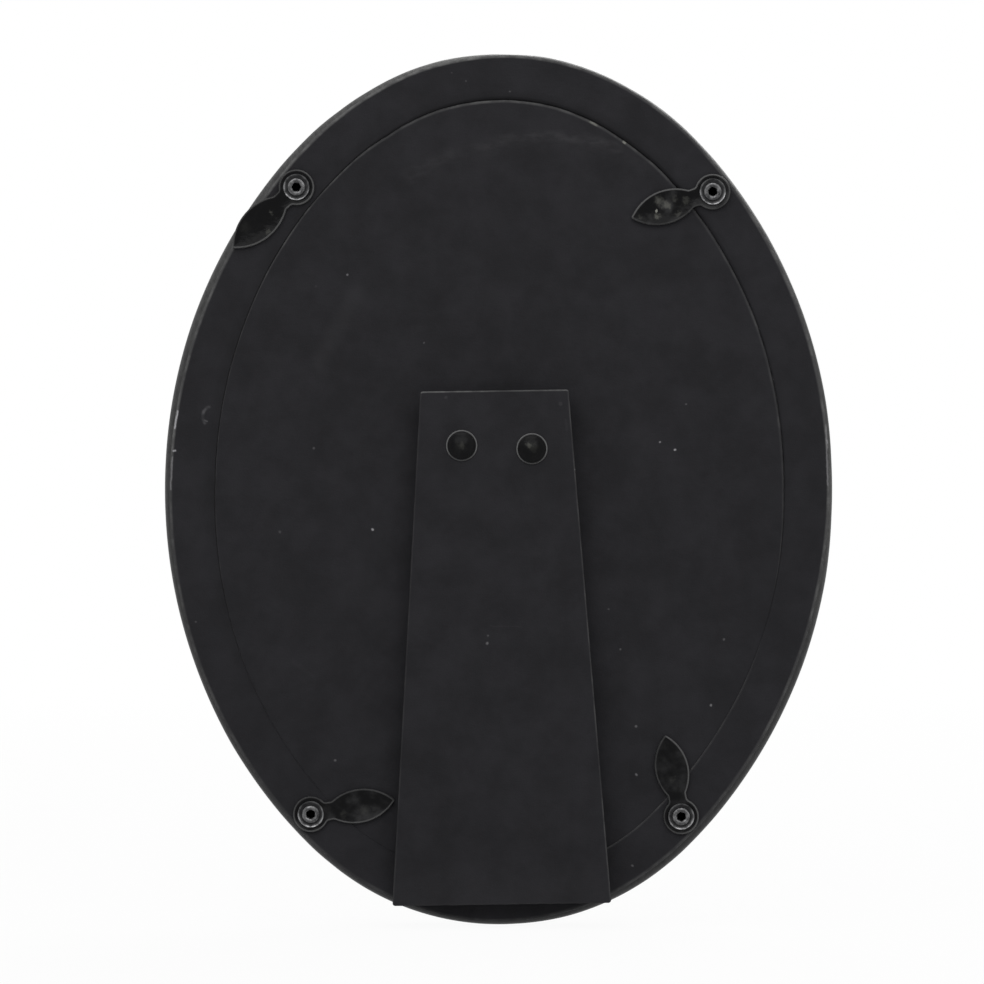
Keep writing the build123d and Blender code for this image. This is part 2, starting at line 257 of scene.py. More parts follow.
class FrameColours(bpy.types.PropertyGroup):
    """Colours of the finishes, in linear light."""

    board: colour("Board", "Matte black coat of the boards", 0.0136, 0.0133, 0.0154)
    # Also the painted highlight on the strut's top edge and on the lower ring side of the seam
    board_rubbed_and_lit: colour("Rubbed board", "Board where its coat is rubbed through", 0.15, 0.15, 0.148)
    board_dust: colour("Board dust", "Dust and scuffs on the boards", 0.35, 0.345, 0.36)
    board_chipped: colour("Chipped board", "Pale fibre under a chip", 0.36, 0.36, 0.32)
    lacquer: colour("Lacquer", "Satin black lacquer of the moulding", 0.012, 0.012, 0.013)
    # Also painted highlight on the rear round, strongest at the top
    lacquer_rubbed_and_lit: colour("Rubbed lacquer", "Lacquer where it is rubbed dull", 0.16, 0.16, 0.156)
    enamel: colour("Enamel", "Gloss black enamel of the turn buttons and rivets", 0.0026, 0.0026, 0.003)
    # Also the painted highlight on the tops of the rivets' rims
    enamel_rubbed: colour("Rubbed enamel", "Enamel edge rubbed down to grey", 0.085, 0.085, 0.085)
    # Partly a painted reflection on the gloss enamel
    enamel_film: colour("Enamel film", "Cloudy film that dulls the enamel", 0.034, 0.034, 0.035)
    # Also painted glints and reflections on the enamel
    enamel_blot: colour("Enamel blot", "Pale residue on the enamel", 0.26, 0.26, 0.23)
    plating: colour("Plating", "Dark plating of eyelets and cup washers", 0.011, 0.011, 0.012)
    # Also painted highlight on the eyelets' and washers' slopes that face up
    plating_rubbed_and_lit: colour("Rubbed plating", "Bright steel where the plating is rubbed off", 0.3, 0.3, 0.305)
    zinc: colour("Zinc", "Dull zinc of the hinge", 0.42, 0.42, 0.43)
    paper: colour("Paper", "Plain sheet behind the glass", 0.8, 0.775, 0.715)
    card: colour("Card", "Grey filler board", 0.34, 0.325, 0.3)
    glass: colour("Glass", "Clear glass", 0.985, 0.99, 0.985)
    glass_shadow: colour("Glass shadow", "Lamp light that comes through the glass", 0.95, 0.96, 0.95)
    floor: colour("Floor", "Plain pale floor", 0.72, 0.72, 0.72)


class StageSettings(bpy.types.PropertyGroup):
    """The camera, the lamps and the light all round."""

    camera_place: FloatVectorProperty(
        name="Camera place", description="Where the camera stands, behind the frame",
        default=(0.001485, 1.00505, 0.09814), size=3, subtype="TRANSLATION", unit="LENGTH")
    camera_lens: FloatProperty(
        name="Lens", description="Focal length in millimetres on a 36 mm sensor",
        default=162.6, min=1, subtype="DISTANCE_CAMERA")
    sky_light: factor("Sky light", "Strength of the light all round", 0.3)
    floor_glow: factor("Floor glow", "Share of the floor that is plain white to the camera", 0.95)
    rear_lamp: power("Rear lamp", "Power of the soft lamp above the frame's back", 7.5)
    front_lamp: power("Front lamp", "Power of the soft lamp above the frame's front", 5.0)
    top_lamp: power("Top lamp", "Power of the soft lamp overhead", 2.0)


class Wire:
    """An output socket; arithmetic on it adds Math nodes to its node tree."""

    def __init__(self, nodes, socket):
        self.nodes = nodes
        self.socket = socket

    def out(self, name):
        """Another output of the same node."""
        return Wire(self.nodes, self.socket.node.outputs[name])

    def math(self, operation, *values):
        """Result of a Math node."""
        return self.nodes.node("ShaderNodeMath", {"operation": operation}, dict(enumerate(values)))

    def __add__(self, other):
        return self.math("ADD", self, other)

    __radd__ = __add__

    def __sub__(self, other):
        return self.math("SUBTRACT", self, other)

    def __rsub__(self, other):
        return self.math("SUBTRACT", other, self)

    def __mul__(self, other):
        return self.math("MULTIPLY", self, other)

    __rmul__ = __mul__

    def __truediv__(self, other):
        return self.math("DIVIDE", self, other)

    def __rtruediv__(self, other):
        return self.math("DIVIDE", other, self)

    def __abs__(self):
        return self.math("ABSOLUTE", self)

    def most(self, other):
        """The larger of the two."""
        return self.math("MAXIMUM", self, other)

    def least(self, other):
        """The smaller of the two."""
        return self.math("MINIMUM", self, other)

    def held(self):
        """Kept between 0 and 1."""
        return self.most(0.0).least(1.0)

    def rise(self, low, high):
        """0 up to low, 1 from high on, and smooth between them."""
        return self.nodes.node(
            "ShaderNodeMapRange", {"interpolation_type": "SMOOTHSTEP"},
            {"Value": self, "From Min": low, "From Max": high})

    def near(self, reach, core):
        """1 up to a core share of a reach, and 0 from the reach on."""
        return 1 - self.rise(core * reach, reach)


class Nodes:
    """A node tree under construction."""

    def __init__(self, owner):
        owner.use_nodes = True
        self.tree = owner.node_tree
        self.tree.nodes.clear()

    def node(self, kind, settings=None, sockets=None, out=0):
        """Add a node, link the sockets that are given a Wire and set the others; returns one output."""
        made = self.tree.nodes.new(kind)
        for name, value in (settings or {}).items():
            setattr(made, name, value)
        for name, value in (sockets or {}).items():
            if isinstance(value, Wire):
                self.tree.links.new(value.socket, made.inputs[name])
            else:
                made.inputs[name].default_value = value
        return Wire(self, made.outputs[out]) if len(made.outputs) else made

    def seen(self):
        """1 for rays that show the background: seen, mirrored or through glass."""
        path = self.node("ShaderNodeLightPath", out="Is Camera Ray")
        return (path + path.out("Is Glossy Ray") + path.out("Is Transmission Ray")).least(1.0)


class Finish(Nodes):
    """A material under construction; its place is the position on the piece, in metres."""

    def __init__(self, name):
        self.material = bpy.data.materials.new(name)
        super().__init__(self.material)
        self.place = self.node("ShaderNodeTexCoord", out="Object")

    def shade(self, name, strength=1.0):
        """One of the frame's colours, darker or lighter by a strength."""
        return (*(strength * part for part in getattr(bpy.context.scene.frame_colours, name)), 1.0)

    def vector(self, operation, *values, out=0):
        """Result of a Vector Math node."""
        return self.node("ShaderNodeVectorMath", {"operation": operation}, dict(enumerate(values)), out)

    def cloud(self, scale, detail=3.0, roughness=0.5, place=None):
        """Noise from about 0.2 to 0.8 in patches 1 / scale metres wide; a tuple is a scale for each axis."""
        place = place or self.place
        if isinstance(scale, tuple):
            place, scale = self.vector("MULTIPLY", place, scale), 1.0
        return self.node(
            "ShaderNodeTexNoise", None,
            {"Vector": place, "Scale": scale, "Detail": detail, "Roughness": roughness})

    def specks(self, place, spacing, size, share):
        """Small dots about a spacing apart, where only a share of the places has one."""
        cells = self.node("ShaderNodeTexVoronoi", None, {"Vector": place, "Scale": 1 / spacing}, "Distance")
        pick = self.node("ShaderNodeSeparateColor", None, {"Color": cells.out("Color")}, "Red")
        return cells.near(size / spacing, 0.4) * pick.rise(1 - share, 1 - 0.6 * share)

    def blend(self, share, first, second):
        """Colour from first to second."""
        return self.node("ShaderNodeMix", {"data_type": "RGBA"}, {0: share, 6: first, 7: second}, 2)

    def wavered(self, stir, reach):
        """Position on the frame's back, stirred by a cloud to both sides by up to half a reach."""
        back = self.vector("MULTIPLY", self.place, (1.0, 0.0, 1.0))
        moved = self.vector("MULTIPLY_ADD", stir.out("Color"), (reach, 0.0, reach), back)
        return self.vector("SUBTRACT", moved, (reach / 2, 0.0, reach / 2))

    def away(self, place, across, up):
        """Distance from a point of the frame's back, in metres."""
        return self.vector("DISTANCE", place, (across, 0.0, up), out="Value")

    def split(self, place, axis):
        """One coordinate of a place."""
        return self.node("ShaderNodeSeparateXYZ", None, {"Vector": place}, axis)

    def wear(self):
        """How rubbed the mesh says it is, with painted highlight in places and painted shade below zero."""
        return self.node("ShaderNodeAttribute", {"attribute_name": "wear"}, None, "Fac")

    def bump(self, height, depth):
        """Normal of a relief with a depth in metres."""
        return self.node("ShaderNodeBump", None, {"Height": height, "Distance": depth, "Strength": 1.0})

    def surface(self, **sockets):
        """The finished material with one main shader; socket names have _ for a space."""
        named = {name.replace("_", " "): value for name, value in sockets.items()}
        return self.output(self.node("ShaderNodeBsdfPrincipled", None, named))

    def output(self, shader):
        """The finished material with any shader."""
        self.node("ShaderNodeOutputMaterial", None, {"Surface": shader})
        return self.material


class Form:
    """A mesh under construction, made of closed loops of points that carry how rubbed they are,
    with painted highlight in places and painted shade below zero.
    """

    def __init__(self):
        self.mesh = bmesh.new()
        self.rub = self.mesh.verts.layers.float.new("wear")

    def loop(self, points, rubs=None):
        """Add the points of a loop."""
        made = []
        for number, point in enumerate(points):
            vert = self.mesh.verts.new(point)
            vert[self.rub] = rubs[number] if rubs else 0.0
            made.append(vert)
        return made

    def sweep(self, outline, section, place):
        """Loops round an outline, one per step of a section; place gives a point and how rubbed it is."""
        loops = []
        for step in section:
            placed = [place(*spot, *step) for spot in outline]
            loops.append(self.loop([point for point, rub in placed], [rub for point, rub in placed]))
        return loops

    def lathe(self, middle, profile, scallop=None):
        """Loops of a piece turned along Y from radii and depths, and maybe how rubbed it is and a bias of
        that towards the top, or below zero the bottom, which paints highlight on slopes facing the light
        above.
        """
        loops = []
        for radius, depth, *rub in profile:
            wear, highlight_lean = rub or (0.0, 0.0)
            points, rubs = [], []
            for number in range(LATHE_STEPS):
                angle = 2 * math.pi * number / LATHE_STEPS
                reach = radius * (scallop(angle, radius) if scallop else 1.0)
                points.append((middle.x + reach * math.cos(angle), depth, middle.z + reach * math.sin(angle)))
                rubs.append(wear * (1 + highlight_lean * math.sin(angle)))
            loops.append(self.loop(points, rubs))
        self.skin(loops)
        return loops

    def skin(self, loops, closed=False):
        """Faces from each loop to the next, and if closed from the last to the first."""
        pairs = list(zip(loops, loops[1:]))
        if closed:
            pairs.append((loops[-1], loops[0]))
        for first, second in pairs:
            for number in range(len(first)):
                after = (number + 1) % len(first)
                self.mesh.faces.new((first[number], first[after], second[after], second[number]))

    def cap(self, loop, shares=()):
        """Flat face over a loop, or rings towards its middle at shares of its width."""
        middle = sum((vert.co for vert in loop), Vector()) / len(loop)
        rings = [loop]
        for share in shares:
            rings.append(self.loop([middle.lerp(vert.co, share) for vert in loop]))
        self.skin(rings)
        self.mesh.faces.new(rings[-1])

    def fill(self, *loops):
        """Flat face between an outer loop and the holes in it."""
        edges = []
        for loop in loops:
            for number, vert in enumerate(loop):
                pair = (loop[number - 1], vert)
                edges.append(self.mesh.edges.get(pair) or self.mesh.edges.new(pair))
        bmesh.ops.triangle_fill(self.mesh, use_beauty=True, edges=edges)

    def faces(self, loops, holes):
        """Front and rear faces of a board, with holes through it."""
        for end in (0, -1):
            self.fill(loops[end], *(hole[end] for hole in holes))

    def piece(self, name, finish, body, slot, *nodes, crease=50):
        """Make the mesh a piece in the place of nodes; edges over a crease in degrees look sharp."""
        bmesh.ops.recalc_face_normals(self.mesh, faces=self.mesh.faces)
        for face in self.mesh.faces:
            face.smooth = True
        data = bpy.data.meshes.new(name)
        self.mesh.to_mesh(data)
        self.mesh.free()
        data.set_sharp_from_angle(angle=math.radians(crease))
        data.materials.append(finish)
        made = bpy.data.objects.new(name, data)
        bpy.context.scene.collection.objects.link(made)
        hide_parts(*nodes)
        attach(made, body)


def span(node):
    """Middle and size of a node's box at rest."""
    low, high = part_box(node)
    return (low + high) / 2, high - low


OVAL_MIDDLE, OVAL_SIZE = span("front_moulding")


def dress(node, finish):
    """Give one of the frame's own nodes a finish."""
    materials = frame["nodes"][node].data.materials
    materials.clear()
    materials.append(finish)


def uneven(point, waves, seed):
    """Smooth noise from -1 to 1 at a point, whose waves are about 1 / waves metres long."""
    return noise.noise(Vector((point[0] * waves, point[1] * waves, seed)))


def turned(point, angle):
    """Point turned counterclockwise, as seen from the front."""
    across = point[0] * math.cos(angle) - point[1] * math.sin(angle)
    up = point[0] * math.sin(angle) + point[1] * math.cos(angle)
    return Vector((across, up))


def ring_spot(point, depth):
    """A drawn point on the ring, which is turned and lies high on the moulding."""
    spot = turned(point, RING_TURN)
    return (OVAL_MIDDLE.x + spot.x, depth, OVAL_MIDDLE.z + spot.y + RING_LIFT)


def tube_radius(corner):
    """Outer radius of an eyelet's tube."""
    return span("eyelet_" + corner)[1].x / 2 * TUBE_SHARE


def oval_outline():
    """Points of the moulding's outer edge with outward normals and directions, about a step apart."""
    half_width, half_height = OVAL_SIZE.x / 2, OVAL_SIZE.z / 2
    shift = (half_height - half_width) / (1 + math.tan(ARC_JOIN) - 1 / math.cos(ARC_JOIN))
    rise = shift * math.tan(ARC_JOIN)
    side, end = half_width + shift, half_height - rise
    arcs = (
        ((-shift, 0), side, -ARC_JOIN, ARC_JOIN),
        ((0, rise), end, ARC_JOIN, math.pi - ARC_JOIN),
        ((shift, 0), side, math.pi - ARC_JOIN, math.pi + ARC_JOIN),
        ((0, -rise), end, math.pi + ARC_JOIN, 2 * math.pi - ARC_JOIN),
    )
    outline = []
    for centre, radius, first, last in arcs:
        count = round(radius * (last - first) / OVAL_STEP)
        for number in range(count):
            direction = first + (last - first) * number / count
            normal = Vector((math.cos(direction), math.sin(direction)))
            outline.append((Vector(centre) + normal * radius, normal, direction))
    return outline


def rounded_outline(corners, radius, step):
    """Convex outline with rounded corners, as points with outward normals."""
    runs = []
    for number, corner in enumerate(corners):
        before = (corners[number - 1] - corner).normalized()
        after = (corners[(number + 1) % len(corners)] - corner).normalized()
        half = before.angle(after) / 2
        centre = corner + (before + after).normalized() * radius / math.sin(half)
        reach = radius / math.tan(half)
        runs.append((centre, corner + before * reach, corner + after * reach))
    outline = []
    for number, (centre, start, end) in enumerate(runs):
        for part in range(ARC_STEPS):
            normal = (start - centre).lerp(end - centre, part / ARC_STEPS).normalized()
            outline.append((centre + normal * radius, normal))
        normal = (end - centre).normalized()
        stop = runs[(number + 1) % len(runs)][1]
        count = max(1, round((stop - end).length / step))
        outline.extend((end.lerp(stop, part / count), normal) for part in range(count))
    return outline


def quarter(steps):
    """Cosines and sines of a quarter turn."""
    angles = [math.pi / 2 * number / steps for number in range(steps + 1)]
    return [(math.cos(angle), math.sin(angle)) for angle in angles]


def eased_edge(inset, depth, arris, support=SUPPORT):
    """Section of a rounded edge from its side to its flat: insets, depths and wear."""
    points = [(inset + arris * (1 - cos), depth - arris * (1 - sin), 1.0) for cos, sin in quarter(ARC_STEPS)]
    return points + [(inset + arris + support, depth, 0.0)]


def arc(start, end, bow, steps):
    """Points of an arc that rises by bow to the left of the way from start to end."""
    start, end = Vector(start), Vector(end)
    chord = end - start
    side = Vector((-chord.y, chord.x)).normalized()
    radius = (chord.length ** 2 / 4 + bow ** 2) / (2 * abs(bow))
    centre = (start + end) / 2 + side * (bow - math.copysign(radius, bow))
    first, last = start - centre, end - centre
    turn = first.angle_signed(last)
    return [centre + turned(first, -turn * number / steps) for number in range(steps + 1)]


def dome(radius, base, height):
    """Profile of a dome from its rim to just short of its top."""
    ball = (radius ** 2 + height ** 2) / (2 * height)
    edge = math.asin(radius / ball)
    angles = [edge * (1 - number / DOME_STEPS) for number in range(DOME_STEPS)]
    return [(ball * math.sin(angle), base + height - ball * (1 - math.cos(angle))) for angle in angles]


class Rivet(NamedTuple):
    """A kind of rivet: a domed head on a flange with a ledge, a shank, and a tail clinched flat."""

    head: float
    flange: float
    ledge: float
    shank: float
    tail: float
    clinch: float

    def form(self, node):
        """Mesh of the rivet in a node's place."""
        middle, size = span(node)
        front, top = middle.y - size.y / 2, middle.y + size.y / 2
        radius = size.x / 2
        seat = top - self.head
        neck = front + self.clinch
        soft = self.flange / 3
        base = seat + self.flange - soft
        profile = [
            (self.tail - soft, front, 0.5, 0.0),
            (self.tail, front + soft, 0.5, 0.0),
            (self.tail, neck, 0.2, 0.0),
            (self.shank, neck),
            (self.shank, seat),
            (radius - soft, seat, 0.2, 0.0),
            # The rim's rub leans to the top: painted highlight on the upper rim
            (radius, seat + soft, 0.8, 0.7),
            (radius, base, 1.2, 0.7),
            (radius - soft, seat + self.flange, 1.2, 0.7),
            (radius - self.ledge + soft, seat + self.flange, 1.1, 0.7),
            (radius - self.ledge, base),
        ]
        profile.extend(dome(radius - self.ledge - soft, base, top - base))
        form = Form()
        loops = form.lathe(middle, profile)
        form.cap(loops[0])
        form.cap(loops[-1])
        return form


STRUT_RIVET = Rivet(head=0.0016, flange=0.00035, ledge=0.00034, shank=0.0013, tail=0.0022, clinch=0.0006)
LEAF_RIVET = Rivet(head=0.0009, flange=0.0003, ledge=0.0003, shank=0.0012, tail=0.0023, clinch=0.0006)


def board_finish(name, face, specks=(), strokes=(), scuffs=(), chips=()):
    """Matte black coated board: tooth, blotches, dust, edges rubbed grey with painted highlight in places,
    painted shade along the seam, and marks on its rear face.
    """
    finish = Finish(name)
    tooth = finish.cloud(2600.0, 4.0, 0.6)
    fibre = finish.cloud((700.0, 700.0, 2200.0))
    blotch = finish.cloud(120.0, 4.0, 0.6)
    patch = finish.cloud(520.0, 4.0, 0.65)
    streak = finish.cloud(230.0, 3.0, 0.6)
    wear = finish.wear()
    # Painted shade along the seam comes in as values below zero
    seam_shade = (0 - wear).held()
    rubbed = (wear.most(0.0) * (0.45 + 0.5 * streak.rise(0.42, 0.66) + 0.5 * (patch - 0.5))).least(1.0)

    place = finish.wavered(patch, MARK_WAVER)
    x, z = finish.split(place, "X"), finish.split(place, "Z")
    brush = 0.2 + 0.8 * finish.cloud((240.0, 240.0, 640.0), 2.0, 0.5, place).rise(0.36, 0.7)
    lint = finish.cloud(900.0, 3.0, 0.7, place).rise(0.66, 0.78)
    marks = finish.specks(place, *DUST) * 0.1 + lint * 0.012
    for across, up, size, strength in specks:
        marks = marks.most(finish.away(place, across, up).near(size, 0.35) * strength)
    for (x0, z0), (x1, z1), width, strength in strokes:
        along = ((x - x0) * (x1 - x0) + (z - z0) * (z1 - z0)) / ((x1 - x0) ** 2 + (z1 - z0) ** 2)
        along = along.held()
        off_x = x - x0 - along * (x1 - x0)
        off_z = z - z0 - along * (z1 - z0)
        away = x.math("SQRT", off_x * off_x + off_z * off_z)
        marks = marks.most(away.near(width, 0.1) * strength)
    for (x0, z0), radius, first, last, width, strength in scuffs:
        first, last = math.radians(first), math.radians(last)
        turn = x.math("ARCTAN2", z - z0, x - x0)
        soft = (last - first) / 8
        window = turn.rise(first, first + soft) * (1 - turn.rise(last - soft, last))
        off = abs(finish.away(place, x0, z0) - radius)
        marks = marks.most(off.near(width, 0.1) * window * brush * strength)

    coat = finish.blend(blotch.rise(0.25, 0.75), finish.shade("board", 0.78), finish.shade("board", 1.22))
    # Painted shade along the seam
    coat = finish.blend(seam_shade * 0.6, coat, finish.shade("board", 0.1))
    # Rubbed grey, partly painted highlight on the strut's top edge and on the seam's lower ring side
    coat = finish.blend(rubbed, coat, finish.shade("board_rubbed_and_lit"))
    on_face = finish.split(finish.place, "Y").rise(*(face - depth for depth in MARK_DEPTHS))
    coat = finish.blend(marks.least(1.0) * on_face, coat, finish.shade("board_dust"))
    for across, up, size, strength in chips:
        chip = finish.away(place, across, up).near(size, 0.3) * wear.rise(0.05, 0.3)
        coat = finish.blend(chip * strength, coat, finish.shade("board_chipped"))
    return finish.surface(
        Base_Color=coat,
        Roughness=0.68 + 0.2 * (patch - 0.5) - 0.1 * rubbed,
        Specular_IOR_Level=0.13,
        Normal=finish.bump(tooth * 0.6 + fibre * 0.4, RELIEF["board"]))


def lacquer_finish(front, back):
    """Satin black lacquer on wood, duller towards the back: long grain, fine pits, rubbed arrises whose grey
    is partly painted highlight, strongest at the top.
    """
    finish = Finish("moulding_lacquer")
    grain = finish.cloud((260.0, 900.0, 260.0), 5.0, 0.6)
    pits = finish.cloud(1900.0)
    hatch = finish.cloud((1500.0, 400.0, 600.0), 4.0, 0.7)
    patch = finish.cloud(330.0, 4.0, 0.65)
    rubbed = (finish.wear() * (0.25 + 0.7 * patch + 1.8 * (hatch - 0.5))).held()
    dull = finish.split(finish.place, "Y").rise(front, back)
    coat = finish.blend(grain, finish.shade("lacquer", 0.75), finish.shade("lacquer", 1.25))
    return finish.surface(
        Base_Color=finish.blend(rubbed, coat, finish.shade("lacquer_rubbed_and_lit")),
        Roughness=0.3 + 0.12 * dull + 0.16 * (patch - 0.5) + 0.15 * rubbed,
        Specular_IOR_Level=0.22,
        Coat_Weight=0.45 * (1 - dull) * (1 - 0.6 * rubbed),
        Coat_Roughness=0.16,
        Normal=finish.bump(grain * 0.7 + pits * 0.3, RELIEF["lacquer"]))


def enamel_finish(name, wave, film_and_reflection, polish, blots_and_glints, bright=1.0):
    """Black enamel on pressed metal: wavy, with a cloudy layer and pale spots that are partly painted
    reflections and glints, rubbed grey at the edges, partly painted highlight on the rivets' rims.
    """
    finish = Finish(name)
    swell = finish.cloud(330.0)
    ripple = finish.cloud(1300.0, 3.0, 0.6)
    # Cloudy patches, partly painted reflection
    cloudy = finish.cloud(270.0).rise(0.42, 0.72) * film_and_reflection
    rubbed = (finish.wear() * (0.45 + 1.1 * ripple)).least(1.0)
    coat = finish.blend(cloudy, finish.shade("enamel"), finish.shade("enamel_film"))
    place = finish.wavered(finish.cloud(1100.0, 4.0, 0.75), BLOT_WAVER)
    # Pale spots, partly painted glints
    for across, up, size, strength in blots_and_glints:
        blot_and_glint = finish.away(place, across, up).near(size, 0.1)
        coat = finish.blend(blot_and_glint * strength, coat, finish.shade("enamel_blot"))
    return finish.surface(
        Base_Color=finish.blend(rubbed, coat, finish.shade("enamel_rubbed", bright)),
        Roughness=polish + 0.3 * cloudy + 0.25 * rubbed,
        Specular_IOR_Level=0.08,
        Normal=finish.bump(swell + 0.15 * ripple, wave))


def plating_finish():
    """Dark plated steel, bright where it is rolled or rubbed and with painted highlight on slopes that face
    up, with fine turned scratches.
    """
    finish = Finish("eyelet_plating")
    patch = finish.cloud(900.0, 4.0, 0.6)
    scratch = finish.cloud((5200.0, 1400.0, 5200.0), 2.0)
    rubbed = (finish.wear() * (0.25 + 1.35 * patch.rise(0.3, 0.72))).least(1.0)
    return finish.surface(
        Base_Color=finish.blend(rubbed, finish.shade("plating"), finish.shade("plating_rubbed_and_lit")),
        Metallic=0.2 + 0.4 * rubbed,
        Roughness=0.45 - 0.1 * rubbed + 0.2 * (scratch - 0.5),
        Specular_IOR_Level=0.12,
        Normal=finish.bump(scratch * 0.5 + patch * 0.5, RELIEF["plating"]))


def zinc_finish():
    """Dull zinc-plated steel: cloudy spangle, drawn lines and tarnish."""
    finish = Finish("hinge_zinc")
    cells = finish.node("ShaderNodeTexVoronoi", None, {"Vector": finish.place, "Scale": 520.0}, "Color")
    spangle = finish.node("ShaderNodeSeparateColor", None, {"Color": cells}, "Red")
    drawn = finish.cloud((300.0, 4200.0, 4200.0))
    tarnish = finish.cloud(260.0, 5.0, 0.65).rise(0.45, 0.7)
    steel = finish.blend(0.3 * spangle + 0.4 * drawn, finish.shade("zinc", 0.75), finish.shade("zinc"))
    return finish.surface(
        Base_Color=finish.blend(tarnish * 0.6, steel, finish.shade("zinc", 0.35)),
        Metallic=0.95 - 0.35 * tarnish,
        Roughness=0.34 + 0.12 * spangle + 0.22 * tarnish,
        Normal=finish.bump(drawn, RELIEF["zinc"]))


def paper_finish():
    """Plain uncoated paper with its fibres."""
    finish = Finish("insert_paper")
    fibre = finish.cloud((1500.0, 1500.0, 4200.0), 5.0, 0.65)
    cloudy = finish.cloud(140.0, 4.0)
    sheet = finish.blend(0.55 * fibre + 0.45 * cloudy, finish.shade("paper", 0.93), finish.shade("paper"))
    return finish.surface(
        Base_Color=sheet,
        Roughness=0.85 + 0.1 * (fibre - 0.5),
        Specular_IOR_Level=0.2,
        Normal=finish.bump(fibre, RELIEF["paper"]))


def card_finish():
    """Grey board with flecks of mixed pulp."""
    finish = Finish("filler_card")
    pulp = finish.cloud(1200.0, 5.0, 0.7)
    fleck = finish.specks(finish.place, *FLECKS)
    board = finish.blend(pulp, finish.shade("card", 0.8), finish.shade("card", 1.15))
    return finish.surface(
        Base_Color=finish.blend(fleck * 0.6, board, finish.shade("card", 0.35)),
        Roughness=0.9 + 0.1 * (pulp - 0.5),
        Specular_IOR_Level=0.15,
        Normal=finish.bump(pulp, RELIEF["card"]))


def glass_finish():
    """Clear float glass with faint smears, which lets lamps through."""
    finish = Finish("float_glass")
    smear = finish.cloud((60.0, 60.0, 24.0), 4.0, 0.6)
    glass = finish.node("ShaderNodeBsdfPrincipled", None, {
        "Base Color": finish.shade("glass"),
        "Roughness": 0.02 + 0.05 * smear.rise(0.5, 0.75),
        "IOR": 1.5,
        "Transmission Weight": 1.0})
    clear = finish.node("ShaderNodeBsdfTransparent", None, {"Color": finish.shade("glass_shadow")})
    shadow = finish.node("ShaderNodeLightPath", out="Is Shadow Ray")
    return finish.output(finish.node("ShaderNodeMixShader", None, {0: shadow, 1: glass, 2: clear}))


def floor_finish(glow):
    """Pale matte floor, of which a share glows white to the camera, and all of it far away."""
    finish = Finish("pale_floor")
    speckled = finish.blend(finish.cloud(9.0), finish.shade("floor", 0.985), finish.shade("floor"))
    matte = finish.node("ShaderNodeBsdfDiffuse", None, {"Color": speckled})
    white = finish.node("ShaderNodeEmission", None, {"Color": (1, 1, 1, 1), "Strength": 1.0})
    far = finish.away(finish.place, 0.0, 0.0).rise(*FLOOR_FADE)
    share = (glow + (1 - glow) * far) * finish.seen()
    return finish.output(finish.node("ShaderNodeMixShader", None, {0: share, 1: matte, 2: white}))


class OVALFRAME_OT_stage(bpy.types.Operator):
    """Floor, light all round, lamps and camera"""

    bl_idname = "ovalframe.stage"
    bl_label = "Stage"

    floor_reach = 4.0
    floor_cells = 12
    sensor_width = 36.0
    sight_limit = 20.0
    # Place, width and height of each lamp, in metres
    lamps = {
        "rear_lamp": ((0.08, 0.8, 0.75), 1.6, 0.8),
        "front_lamp": ((-0.3, -0.65, 0.7), 0.9, 0.6),
        "top_lamp": ((0.05, 0.1, 1.05), 0.8, 0.6),
    }

    def execute(self, context):
        scene = context.scene
        stage = scene.frame_stage
        scene.view_settings.view_transform = "Standard"

        scene.world = bpy.data.worlds.new("white_room")
        nodes = Nodes(scene.world)
        strength = stage.sky_light + (1 - stage.sky_light) * nodes.seen()
        sky = nodes.node("ShaderNodeBackground", None, {"Color": (1, 1, 1, 1), "Strength": strength})
        nodes.node("ShaderNodeOutputWorld", None, {"Surface": sky})

        grid = bmesh.new()
        bmesh.ops.create_grid(
            grid, x_segments=self.floor_cells, y_segments=self.floor_cells, size=self.floor_reach)
        data = bpy.data.meshes.new("floor")
        grid.to_mesh(data)
        grid.free()
        data.materials.append(floor_finish(stage.floor_glow))
        floor = bpy.data.objects.new("floor", data)
        scene.collection.objects.link(floor)

        middle = (CAD_BOX[0] + CAD_BOX[1]) / 2
        for name, (place, width, height) in self.lamps.items():
            data = bpy.data.lights.new(name, "AREA")
            data.energy = getattr(stage, name)
            data.shape = "RECTANGLE"
            data.size = width
            data.size_y = height
            lamp = bpy.data.objects.new(name, data)
            lamp.location = place
            lamp.rotation_euler = (middle - Vector(place)).to_track_quat("-Z", "Y").to_euler()
            scene.collection.objects.link(lamp)

        data = bpy.data.cameras.new("rear_camera")
        data.lens = stage.camera_lens
        data.sensor_width = self.sensor_width
        data.clip_end = self.sight_limit
        camera = bpy.data.objects.new("rear_camera", data)
        camera.location = stage.camera_place
        camera.rotation_euler = (math.pi / 2, 0.0, math.pi)
        scene.collection.objects.link(camera)
        scene.camera = camera
        return {"FINISHED"}


